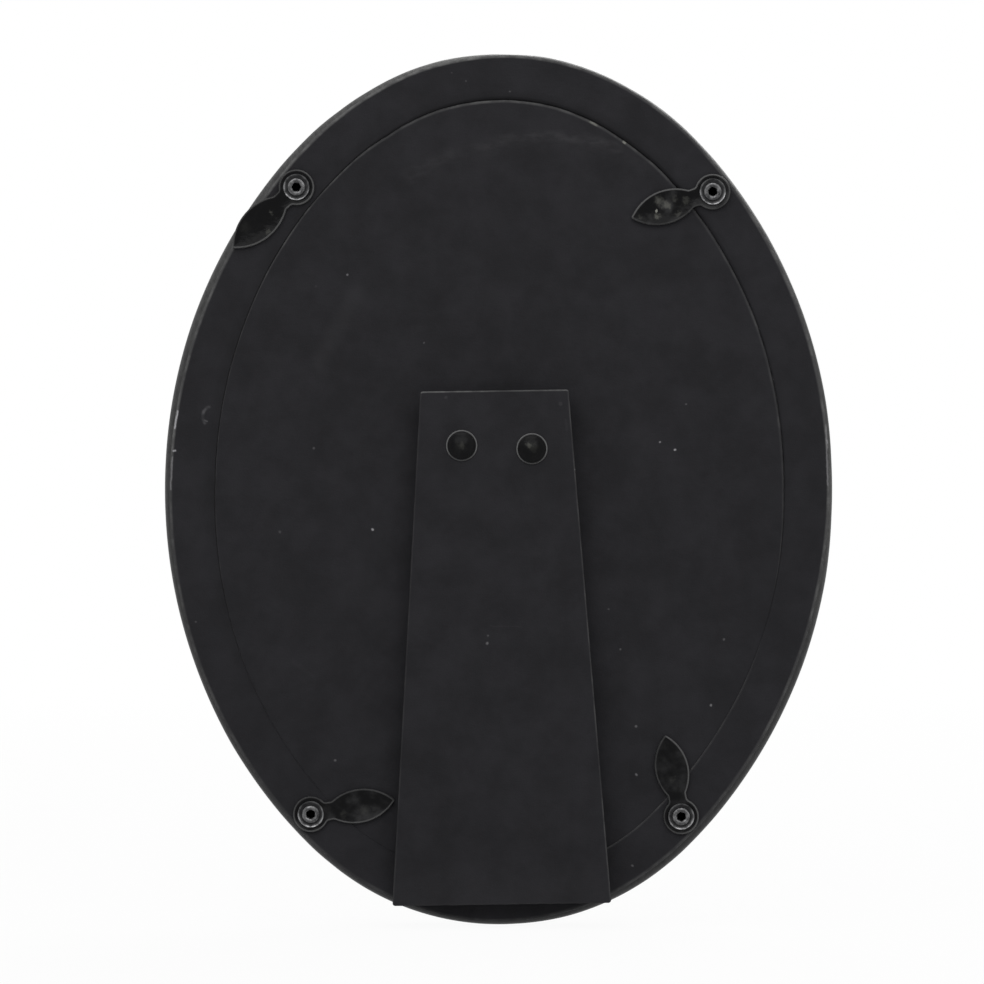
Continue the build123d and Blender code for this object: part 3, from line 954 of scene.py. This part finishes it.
class OVALFRAME_OT_moulding(bpy.types.Operator):
    """Front moulding, swept round the oval"""

    bl_idname = "ovalframe.moulding"
    bl_label = "Front moulding"

    rear_round = 0.0025
    front_round = 0.005
    crest_land = 0.002
    crest_step = 0.0008
    cove_sag = 0.0015
    bead_width = 0.0026
    bead_crown = 0.0008
    bead_step = 0.0008
    lip = 0.0032
    sight_ledge = 0.0055
    soften = 0.00018

    def section(self, sizes, depth):
        """Insets, depths in front of the seat and wear, from the sight edge round the back to it again."""
        sight = sizes.ring_setback + sizes.ring_width + self.sight_ledge
        land_end = self.front_round + self.crest_land
        points = [(sight, 0.0, 0.0), (sight - self.soften, 0.0, 0.2), (self.rear_round + SUPPORT, 0.0, 0.5)]
        for cos, sin in quarter(ROUND_STEPS):
            points.append((self.rear_round * (1 - sin), self.rear_round * (1 - cos), 1.0))
        for number, (cos, sin) in enumerate(quarter(ROUND_STEPS)):
            wear = 0.05 + 0.1 * number / ROUND_STEPS
            points.append((self.front_round * (1 - cos), depth - self.front_round * (1 - sin), wear))
        points.append((land_end - self.soften, depth, 0.25))
        points.append((land_end, depth - self.soften, 0.25))
        cove_top = (land_end, depth - self.crest_step)
        cove_foot = (sight - self.bead_width, self.lip + self.bead_step)
        cove = arc(cove_top, cove_foot, -self.cove_sag, ROUND_STEPS)
        points.extend((point.x, point.y, 0.0) for point in cove)
        bead = arc(cove_foot, (sight, self.lip), self.bead_crown, ROUND_STEPS)
        points.extend((point.x, point.y, 0.2) for point in bead[1:])
        return points

    def execute(self, context):
        seat = OVAL_MIDDLE.y + OVAL_SIZE.y / 2
        section = self.section(context.scene.frame_sizes, OVAL_SIZE.y)
        sight = section[0][0]

        def place(point, normal, direction, inset, rise, wear):
            """Point of the section, whose stray edge fades out towards the sight."""
            spot = point - normal * (inset - MOULDING_STRAY.at(direction) * (1 - inset / sight))
            rub = wear * MOULDING_RUB_AND_LIGHT.at(direction)
            return (OVAL_MIDDLE.x + spot.x, seat - rise, OVAL_MIDDLE.z + spot.y), rub

        form = Form()
        form.skin(form.sweep(oval_outline(), section, place), closed=True)
        finish = lacquer_finish(seat - OVAL_SIZE.y / 2, seat - self.rear_round)
        form.piece("moulding_wood", finish, "frame", "moulding_lacquer", "front_moulding", crease=38)
        return {"FINISHED"}


class OVALFRAME_OT_back_ring(bpy.types.Operator):
    """Flat ring that holds the sheets, with the eyelets' holes"""

    bl_idname = "ovalframe.back_ring"
    bl_label = "Back ring"

    # Marks on the ring, in metres and degrees: dust, scratches at its edges and a curved nick
    specks = (
        (0.0681, 0.0689, 0.0003, 0.12), (-0.0026, 0.1882, 0.0003, 0.12), (0.0073, 0.1906, 0.0003, 0.1),
        (-0.0301, 0.014, 0.00034, 0.2),
    )
    strokes = (
        ((0.0732, 0.1074), (0.0727, 0.1075), 0.0003, 0.8),
        ((0.0662, 0.1142), (0.0656, 0.114), 0.0003, 0.16),
        ((0.0722, 0.1164), (0.0729, 0.1125), 0.0003, 1.0),
        ((0.0734, 0.106), (0.0738, 0.0988), 0.0003, 0.3),
        ((-0.0737, 0.1132), (-0.074, 0.0997), 0.0003, 0.3),
        ((-0.0739, 0.1098), (-0.074, 0.1092), 0.0003, 0.6),
    )
    scuffs = (((0.0642, 0.11505), 0.0024, -50, 80, 0.0005, 0.16),)
    ragged = 0.00005
    ragged_waves = 380.0
    # The soft inner edge: its round, the share of it left where the seam is shut, how soon a seam with
    # painted highlight has all of it, and the width and share of the painted shade on the flat
    inner_round = 0.0005
    shut_share = 0.3
    highlight_gain = 5.0
    seam_shade_width = 0.0022
    flat_shade_share = 0.45
    # The groove where the seam is open: its depth, the gap that has all of it, and the shares of the gap
    # that it spans and sinks by
    groove = 0.00022
    full_groove_gap = 0.0005
    gap_share = 0.85
    sink_share = 0.6
    groove_steps = 5

    def execute(self, context):
        sizes = context.scene.frame_sizes
        low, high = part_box("back_ring")
        setback = sizes.ring_setback
        inner = setback + sizes.ring_width

        def outer_edge(point, normal, direction, inset, depth, wear):
            """Point of the outer edge, whose stray fades out towards the inner one."""
            ragged = self.ragged * wear * uneven(point, self.ragged_waves, inset * NOISE_DRIFT)
            stray = RING_STRAY.at(direction) * (inner - inset) / sizes.ring_width
            return ring_spot(point - normal * (inset + ragged - stray), depth), wear * RING_RUB.at(direction)

        def inner_wall(point, normal, direction, depth):
            """Point of the inner wall, which makes room where the panel lies far out."""
            return ring_spot(point - normal * (inner - max(0.0, SEAM_STRAY.at(direction))), depth), 0.0

        def inner_edge(point, normal, direction, share):
            """Point of the soft inner edge, from 0 on the flat to 1 at the bottom, near the panel."""
            gap = SEAM_OPEN.at(direction)
            seam_shade = SEAM_SHADE_AND_HIGHLIGHT.at(direction)
            wide = min(1.0, gap / self.full_groove_gap)
            round_share = max(wide, min(1.0, -self.highlight_gain * seam_shade))
            soft = self.inner_round * (self.shut_share + (1 - self.shut_share) * round_share)
            inset = inner - SEAM_STRAY.at(direction) - soft + share * (soft + self.gap_share * gap)
            depth = high.y - (self.groove * wide + self.sink_share * gap) * share ** 2
            # Painted shade on the ring side of the seam goes out as values below zero, and painted highlight
            # where the table is below zero
            deep = self.flat_shade_share + (1 - self.flat_shade_share) * share if seam_shade > 0 else share
            return ring_spot(point - normal * inset, depth), -seam_shade * deep

        section = [(setback, low.y, 0.0), (setback, high.y - sizes.board_arris - SUPPORT, 0.05)]
        section += eased_edge(setback, high.y, sizes.board_arris)
        shares = [(number / self.groove_steps,) for number in range(self.groove_steps, -1, -1)]
        outline = oval_outline()
        form = Form()
        loops = form.sweep(outline, section, outer_edge)
        inner_loops = form.sweep(outline, [(low.y,), ((low.y + high.y) / 2,)], inner_wall)
        inner_loops += form.sweep(outline, shares, inner_edge)
        inner_loops += form.sweep(outline, [(inner - self.seam_shade_width, high.y, 0.0)], outer_edge)
        form.skin(loops)
        form.skin(inner_loops)
        form.skin([loops[0], inner_loops[0]])
        holes = []
        for corner in CORNERS:
            middle, size = span("eyelet_" + corner)
            tube = tube_radius(corner)
            hole = form.lathe(middle, [(tube, high.y), (tube, middle.y - size.y / 2)])
            form.cap(hole[-1])
            holes.append(hole[0])
        form.fill(loops[-1], inner_loops[-1], *holes)
        finish = board_finish("ring_board", high.y, self.specks, self.strokes, self.scuffs)
        form.piece("ring_board", finish, "frame", "board_black", "back_ring")
        return {"FINISHED"}


class OVALFRAME_OT_back_panel(bpy.types.Operator):
    """Lift-out panel in the ring"""

    bl_idname = "ovalframe.back_panel"
    bl_label = "Back panel"

    # Marks on the panel, in metres and degrees: dust, soft smears, a broken scuff and chips at its edge
    specks = (
        (0.034, 0.147, 0.00036, 0.3), (0.0416, 0.108, 0.00035, 0.14), (0.0283, 0.0896, 0.00042, 0.78),
        (0.0492, 0.0892, 0.00045, 0.1), (0.0368, 0.0378, 0.0004, 0.21), (-0.0422, 0.1179, 0.0003, 0.19),
        (-0.0363, 0.1094, 0.00033, 0.5), (-0.0397, 0.1076, 0.00034, 0.8), (-0.0507, 0.065, 0.0004, 0.18),
        (-0.0478, 0.0502, 0.0004, 0.35), (-0.0248, 0.0718, 0.0003, 0.14), (-0.0273, 0.0628, 0.00032, 0.18),
        (0.0168, 0.1317, 0.0003, 0.15), (-0.031, 0.0454, 0.0004, 0.24), (-0.031, 0.0345, 0.0004, 0.29),
        (0.0411, 0.1444, 0.0004, 0.03), (-0.0443, 0.0364, 0.0006, 0.1),
    )
    strokes = (
        ((0.0323, 0.1425), (0.0406, 0.1274), 0.0032, 0.014),
        ((0.046, 0.0598), (0.0418, 0.0568), 0.0008, 0.006),
    )
    scuffs = (
        ((-0.00977, 0.12334), 0.0549, 82, 111, 0.002, 0.045),
        ((-0.00977, 0.12334), 0.0546, 72, 86, 0.0023, 0.032),
        ((-0.00977, 0.12334), 0.0547, 55, 70, 0.0027, 0.024),
        ((-0.00977, 0.12334), 0.054, 56, 122, 0.0036, 0.01),
    )
    chips = ((-0.0212, 0.18085, 0.0014, 0.3), (-0.0282, 0.17685, 0.0006, 0.45))
    ragged = 0.00007
    ragged_waves = 300.0
    ragged_seed = 5.0
    least_ease = 0.03

    def execute(self, context):
        sizes = context.scene.frame_sizes
        low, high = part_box("back_panel")
        ring = sizes.ring_setback + sizes.ring_width

        def place(point, normal, direction, inset, depth, wear):
            """Point of the rear edge, which is eased less where the seam is shut."""
            gap = SEAM_OPEN.at(direction)
            rub = PANEL_RUB.at(direction)
            seed = self.ragged_seed + inset * NOISE_DRIFT
            soft = min(1.0, self.least_ease + rub + gap / sizes.sheet_gap)
            edge = ring + gap - SEAM_STRAY.at(direction)
            edge += soft * (inset + self.ragged * wear * uneven(point, self.ragged_waves, seed))
            return ring_spot(point - normal * edge, high.y - soft * (high.y - depth)), wear * rub

        form = Form()
        loops = form.sweep(oval_outline(), eased_edge(0.0, high.y, sizes.board_arris), place)
        loops.insert(0, form.loop([(vert.co.x, low.y, vert.co.z) for vert in loops[0]]))
        form.skin(loops)
        holes = []
        for side in SIDES:
            middle, size = span("panel_rivet_" + side)
            neck = middle.y - size.y / 2 + LEAF_RIVET.clinch
            shank = LEAF_RIVET.shank + RIVET_ROOM
            pocket = LEAF_RIVET.tail + POCKET_ROOM
            wall = [(pocket, low.y), (pocket, neck), (shank, neck), (shank, high.y)]
            holes.append(form.lathe(middle, wall))
        form.faces(loops, holes)
        finish = board_finish("panel_board", high.y, self.specks, self.strokes, self.scuffs, self.chips)
        form.piece("panel_board", finish, "frame", "board_black", "back_panel")
        return {"FINISHED"}


class OVALFRAME_OT_sheets(bpy.types.Operator):
    """Glass with seamed edges, and the finish of the paper and card behind it"""

    bl_idname = "ovalframe.sheets"
    bl_label = "Glass, paper and card"

    seam = 0.0002
    room = 0.00005

    def execute(self, context):
        sizes = context.scene.frame_sizes
        low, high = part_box("glass_pane")
        edge = sizes.ring_setback + sizes.ring_width + sizes.sheet_gap
        front, back = low.y + self.room, high.y - self.room
        section = [(edge + self.seam, front), (edge, front + self.seam)]
        section += [(edge, back - self.seam), (edge + self.seam, back)]

        def place(point, normal, direction, inset, depth):
            """Point of the glass, which has slid in the ring."""
            return ring_spot(point - normal * inset + GLASS_SHIFT, depth), 0.0

        form = Form()
        loops = form.sweep(oval_outline(), section, place)
        form.skin(loops)
        form.cap(loops[0], CAP_SHARES)
        form.cap(loops[-1], CAP_SHARES)
        form.piece("clear_pane", glass_finish(), "frame", "glass", "glass_pane", crease=20)
        dress("picture_insert", paper_finish())
        dress("filler_card", card_finish())
        return {"FINISHED"}


class OVALFRAME_OT_easel_strut(bpy.types.Operator):
    """Tapered board that props the frame up, frayed at its foot"""

    bl_idname = "ovalframe.easel_strut"
    bl_label = "Easel strut"

    corner_round = 0.0006
    edge_ease = 0.0002
    # Marks on the strut, in metres: dust and smears
    specks = (
        (0.0026, 0.0643, 0.00045, 0.26), (0.0024, 0.066, 0.0003, 0.14), (-0.0289, 0.0107, 0.0004, 0.3),
        (-0.0172, 0.1032, 0.0003, 0.3), (-0.0138, 0.1179, 0.0006, 0.04), (0.0118, 0.1193, 0.0005, 0.04),
    )
    strokes = (
        ((0.0018, 0.0682), (-0.0052, 0.068), 0.0003, 0.012),
        ((-0.0285, 0.0107), (-0.0292, 0.0123), 0.0003, 0.2),
        ((-0.0151, 0.1143), (-0.0152, 0.112), 0.0005, 0.012),
        ((0.0046, 0.0068), (0.0043, 0.0086), 0.0007, 0.008),
        ((0.024, 0.0062), (-0.0265, 0.0066), 0.011, 0.009),
    )
    # How strongly its edges are rubbed, the top one also with painted highlight, the lean of a normal that
    # tells ends from sides, and how unevenly
    top_rub_and_highlight = 0.75
    left_rub = 0.1
    right_rub = 0.26
    foot_rub = 0.07
    end_lean = 0.5
    rub_spread = 0.7
    rub_waves = 240.0
    rub_seed = 3.0
    # How ragged its edges are, and more so near the foot
    ragged = 0.00003
    foot_ragged = 0.00008
    foot_reach = 0.004
    ragged_waves = 600.0
    ragged_drift = 200.0
    ragged_seed = 9.0

    def execute(self, context):
        sizes = context.scene.frame_sizes
        low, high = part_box("easel_strut")
        pin = PIVOTS["easel_hinge"]
        heel, toe = sizes.strut_heel, sizes.strut_heel - sizes.strut_length
        top, foot = sizes.strut_top / 2, sizes.strut_foot / 2
        corners = [Vector(corner) for corner in ((-top, heel), (top, heel), (foot, toe), (-foot, toe))]
        outline = rounded_outline(corners, self.corner_round, BOARD_STEP)

        def place(point, normal, inset, depth, wear):
            """Point of the edge, which is ragged, more so near the foot, and rubbed by its side."""
            near_foot = max(0.0, 1 - (point.y - toe) / self.foot_reach)
            ragged = uneven(point, self.ragged_waves, self.ragged_seed + depth * self.ragged_drift)
            ragged *= self.ragged + self.foot_ragged * near_foot
            spot = turned(point - normal * (inset + ragged), EASEL_TURN)
            rub = self.left_rub if normal.x > 0 else self.right_rub
            # The top edge's rub is partly painted highlight
            if abs(normal.y) > self.end_lean:
                rub = self.top_rub_and_highlight if normal.y > 0 else self.foot_rub
            rub *= 1 + self.rub_spread * uneven(point, self.rub_waves, self.rub_seed)
            return (pin.x + spot.x, depth, pin.z + spot.y), wear * rub

        section = [(self.edge_ease, low.y, 0.1), (0.0, low.y + self.edge_ease, 0.1)]
        section.append((0.0, high.y - self.edge_ease - SUPPORT, 0.1))
        section += eased_edge(0.0, high.y, self.edge_ease, (self.corner_round - self.edge_ease) / 2)
        form = Form()
        loops = form.sweep(outline, section, place)
        form.skin(loops)
        shank = STRUT_RIVET.shank + RIVET_ROOM
        wall = [(shank, low.y), (shank, high.y)]
        form.faces(loops, [form.lathe(span("strut_rivet_" + side)[0], wall) for side in SIDES])
        finish = board_finish("strut_board", high.y, self.specks, self.strokes)
        form.piece("strut_board", finish, "strut", "board_black", "easel_strut")
        return {"FINISHED"}


class OVALFRAME_OT_strut_rivets(bpy.types.Operator):
    """Domed rivets that hold the strut on its hinge"""

    bl_idname = "ovalframe.strut_rivets"
    bl_label = "Strut rivets"

    film_and_reflection = 0.1
    polish = 0.26
    # Brightens the rims' rubbed grey, partly a painted highlight
    bright_rim = 1.4
    # Painted highlights on the domes' crowns, in metres
    blots_and_glints = (
        (0.0083, 0.1085, 0.001, 0.08), (0.0085, 0.1086, 0.0018, 0.02),
        (-0.0068, 0.1087, 0.001, 0.16), (-0.0075, 0.108, 0.0016, 0.05),
    )

    def execute(self, context):
        wave = RELIEF["rivet"]
        finish = enamel_finish("rivet_enamel", wave, self.film_and_reflection, self.polish, self.blots_and_glints, self.bright_rim)
        for side in SIDES:
            node = "strut_rivet_" + side
            STRUT_RIVET.form(node).piece("dome_rivet_" + side, finish, "strut", "rivet_black", node)
        return {"FINISHED"}


class OVALFRAME_OT_hinge(bpy.types.Operator):
    """Finish of the hinge's leaves and pin, and the rivets of its leaf on the panel"""

    bl_idname = "ovalframe.hinge"
    bl_label = "Hinge"

    def execute(self, context):
        finish = zinc_finish()
        for node in ("hinge_panel_leaf", "hinge_strut_leaf", "hinge_pin"):
            dress(node, finish)
        for side in SIDES:
            node = "panel_rivet_" + side
            LEAF_RIVET.form(node).piece("leaf_rivet_" + side, finish, "frame", "hinge_steel", node)
        return {"FINISHED"}


class OVALFRAME_OT_turn_buttons(bpy.types.Operator):
    """Pressed turn buttons on their eyelets"""

    bl_idname = "ovalframe.turn_buttons"
    bl_label = "Turn buttons"

    neck_fillet = 0.001
    tip_round = 0.0005
    edge_round = 0.00025
    front_ease = 0.0001
    rim_land = 0.00013
    pan_inset = 0.0002
    pan_drop = 0.00003
    polish = 0.18
    # How strongly the edges are rubbed, how much more on the most rubbed side, and how unevenly
    mean_rub = 0.85
    side_rub = 0.45
    rub_spread = 0.4
    rub_waves = 300.0

    def outline(self, sizes):
        """Eye, neck and blade along +X, as points with outward normals."""
        eye, neck, fillet = sizes.eye_radius, sizes.neck_width / 2, self.neck_fillet
        ball = (sizes.blade_chord ** 2 + sizes.blade_width ** 2) / (4 * sizes.blade_width)
        hub = Vector((sizes.blade_middle, sizes.blade_width / 2 - ball))
        level = neck + fillet
        first = Vector((math.sqrt((eye + fillet) ** 2 - level ** 2), level))
        second = Vector((hub.x - math.sqrt((ball + fillet) ** 2 - (level - hub.y) ** 2), level))
        tip = Vector((hub.x + math.sqrt((ball - self.tip_round) ** 2 - hub.y ** 2), 0))
        down = 1.5 * math.pi
        to_tip = math.atan2(-hub.y, tip.x - hub.x)
        from_neck = math.atan2(second.y - hub.y, second.x - hub.x)
        to_eye = math.atan2(first.y, first.x)
        arcs = (
            (Vector((0, 0)), eye, math.pi, to_eye, 1),
            (first, fillet, math.pi + to_eye, down, -1),
            (second, fillet, down, math.pi + from_neck, -1),
            (hub, ball, from_neck, to_tip, 1),
            (tip, self.tip_round, to_tip, 0, 1),
        )
        upper = []
        for centre, radius, start, end, outward in arcs:
            count = max(3, round(radius * abs(end - start) / BLADE_STEP))
            for number in range(count):
                angle = start + (end - start) * number / count
                normal = Vector((math.cos(angle), math.sin(angle)))
                upper.append((centre + normal * radius, normal * outward))
        tip_end = (tip + Vector((self.tip_round, 0)), Vector((1, 0)))
        flip = Vector((1, -1))
        lower = [(point * flip, normal * flip) for point, normal in reversed(upper[1:])]
        return upper + [tip_end] + lower

    def blade(self, corner, sizes, outline):
        """One turn button: a pressed rim round a shallow pan, with a hole for its eyelet."""
        look = BLADES[corner]
        heading = math.radians(look.heading)
        rub_side = turned((1, 0), math.radians(look.rub_side))
        pivot = PIVOTS["button_" + corner + "_turn"]
        low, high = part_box("turn_button_" + corner)

        def place(point, normal, inset, depth, wear):
            """Point of the edge, stretched beyond the eye and most rubbed on one side."""
            spot = point - normal * inset
            spot.x += max(0.0, spot.x - sizes.eye_radius) * (look.stretch - 1)
            spot = turned(spot, heading)
            rub = self.mean_rub + self.side_rub * turned(normal, heading).dot(rub_side)
            rub *= 1 + self.rub_spread * uneven(point, self.rub_waves, pivot.x * NOISE_DRIFT)
            return (pivot.x + spot.x, depth, pivot.z + spot.y), wear * rub

        pan = high.y - self.pan_drop
        section = [(self.front_ease, low.y, 0.0), (0.0, low.y + self.front_ease, 0.4)]
        section += eased_edge(0.0, high.y, self.edge_round)[:-1]
        section.append((self.edge_round + self.rim_land, high.y, 0.25))
        section.append((self.edge_round + self.pan_inset, pan, 0.0))
        form = Form()
        loops = form.sweep(outline, section, place)
        form.skin(loops)
        tube = tube_radius(corner)
        form.faces(loops, [form.lathe(pivot, [(tube, low.y), (tube, pan)])])
        wave = RELIEF["blade"]
        finish = enamel_finish("blade_enamel_" + corner, wave, look.film_and_reflection, self.polish, look.blots_and_glints)
        form.piece("blade_" + corner, finish, "button_" + corner, "button_black", "turn_button_" + corner)

    def execute(self, context):
        sizes = context.scene.frame_sizes
        outline = self.outline(sizes)
        for corner in CORNERS:
            self.blade(corner, sizes, outline)
        return {"FINISHED"}


class OVALFRAME_OT_eyelets(bpy.types.Operator):
    """Rolled eyelets and the cup washers under them"""

    bl_idname = "ovalframe.eyelets"
    bl_label = "Eyelets and washers"

    # Section of a cup washer from its seat over its rim: inset, drop below the rim as a share of its gauge,
    # how rubbed it is, and how much more so on top, or below zero at the bottom, which paints highlight where
    # the dish faces up
    cup_section = (
        (0.0001, 1.0, 0.05, 0.0), (0.0, 0.75, 0.1, 0.3), (0.00003, 0.3, 0.2, -0.4),
        (0.00014, 0.0, 0.55, -0.6), (0.00028, 0.125, 0.6, -0.75), (0.00045, 0.5, 0.15, -0.6),
        (0.0007, 0.68, 0.03, 0.0),
    )
    wall = 0.00045
    lip_ease = 0.0002
    tube_drop = 0.0003
    bore_drop = 0.0004
    # The bore isn't quite round: its sides, how far they reach in as a share of its radius, and how much they
    # turn per metre across the frame
    bore_sides = 6
    bore_side_share = 0.1
    bore_turn = 900.0

    def washer(self, corner, steel):
        """Cup washer round an eyelet's tube; returns the depth of its rim."""
        middle, size = span("eyelet_washer_" + corner)
        top = middle.y + size.y / 2
        tube = tube_radius(corner)
        cup = [(tube, middle.y - size.y / 2)]
        for inset, drop, wear, highlight_lean in self.cup_section:
            cup.append((size.x / 2 - inset, top - drop * size.y, wear, highlight_lean))
        cup.append((tube, cup[-1][1]))
        form = Form()
        loops = form.lathe(middle, cup)
        form.skin([loops[-1], loops[0]])
        form.piece("cup_washer_" + corner, steel, "frame", "button_black", "eyelet_washer_" + corner)
        return top

    def eyelet(self, corner, steel, seat):
        """Tube with a lip rolled over on its washer, whose rim is the lip's seat."""
        middle, size = span("eyelet_" + corner)
        foot, crown = middle.y - size.y / 2, middle.y + size.y / 2
        tube, lip = tube_radius(corner), size.x / 2
        bore = tube - self.wall
        roll = (lip - bore) / 2
        profile = [(tube, foot), (tube, seat - self.tube_drop)]
        profile.append((lip - self.lip_ease, seat - self.lip_ease, 0.1, 0.0))
        # The rub's bias paints highlight on the lip's outer top and the bore's lower side, where they face up
        for number in range(ROUND_STEPS + 1):
            angle = math.pi * number / ROUND_STEPS
            outward, rise = math.cos(angle), math.sin(angle)
            wear = 0.3 + 0.5 * outward ** 2
            profile.append((bore + roll * (1 + outward), seat + (crown - seat) * rise, wear, 0.6 * outward))
        profile.extend([(bore, seat - self.bore_drop, 0.1, -0.8), (bore, foot)])

        def scallop(angle, radius):
            """Share of a radius that is left where the bore's sides reach in."""
            inner = max(0.0, 1 - (radius - bore) / (lip - bore))
            wave = 0.5 + 0.5 * math.cos(self.bore_sides * angle + middle.x * self.bore_turn)
            return 1 - self.bore_side_share * inner * wave

        form = Form()
        loops = form.lathe(middle, profile, scallop)
        form.skin([loops[-1], loops[0]])
        form.piece("rolled_eyelet_" + corner, steel, "frame", "eyelet_steel", "eyelet_" + corner)

    def execute(self, context):
        steel = plating_finish()
        for corner in CORNERS:
            self.eyelet(corner, steel, self.washer(corner, steel))
        return {"FINISHED"}


OPERATORS = (
    OVALFRAME_OT_stage,
    OVALFRAME_OT_moulding,
    OVALFRAME_OT_back_ring,
    OVALFRAME_OT_back_panel,
    OVALFRAME_OT_sheets,
    OVALFRAME_OT_easel_strut,
    OVALFRAME_OT_strut_rivets,
    OVALFRAME_OT_hinge,
    OVALFRAME_OT_turn_buttons,
    OVALFRAME_OT_eyelets,
)


class OVALFRAME_PT_pieces(bpy.types.Panel):
    """Sidebar list of the frame's pieces"""

    bl_label = "Oval frame"
    bl_space_type = "VIEW_3D"
    bl_region_type = "UI"
    bl_category = "Oval frame"

    def draw(self, context):
        for operator in OPERATORS:
            self.layout.operator(operator.bl_idname)
        for group in (context.scene.frame_sizes, context.scene.frame_colours, context.scene.frame_stage):
            box = self.layout.box()
            for name in group.__annotations__:
                box.prop(group, name)


CLASSES = (FrameSizes, FrameColours, StageSettings, *OPERATORS, OVALFRAME_PT_pieces)


def register():
    for made in CLASSES:
        bpy.utils.register_class(made)
    bpy.types.Scene.frame_sizes = PointerProperty(type=FrameSizes)
    bpy.types.Scene.frame_colours = PointerProperty(type=FrameColours)
    bpy.types.Scene.frame_stage = PointerProperty(type=StageSettings)


def unregister():
    del bpy.types.Scene.frame_stage
    del bpy.types.Scene.frame_colours
    del bpy.types.Scene.frame_sizes
    for made in reversed(CLASSES):
        bpy.utils.unregister_class(made)


def main():
    """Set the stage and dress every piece."""
    register()
    bpy.ops.ovalframe.stage()
    bpy.ops.ovalframe.moulding()
    bpy.ops.ovalframe.back_ring()
    bpy.ops.ovalframe.back_panel()
    bpy.ops.ovalframe.sheets()
    bpy.ops.ovalframe.easel_strut()
    bpy.ops.ovalframe.strut_rivets()
    bpy.ops.ovalframe.hinge()
    bpy.ops.ovalframe.turn_buttons()
    bpy.ops.ovalframe.eyelets()


if __name__ == "__main__":
    main()
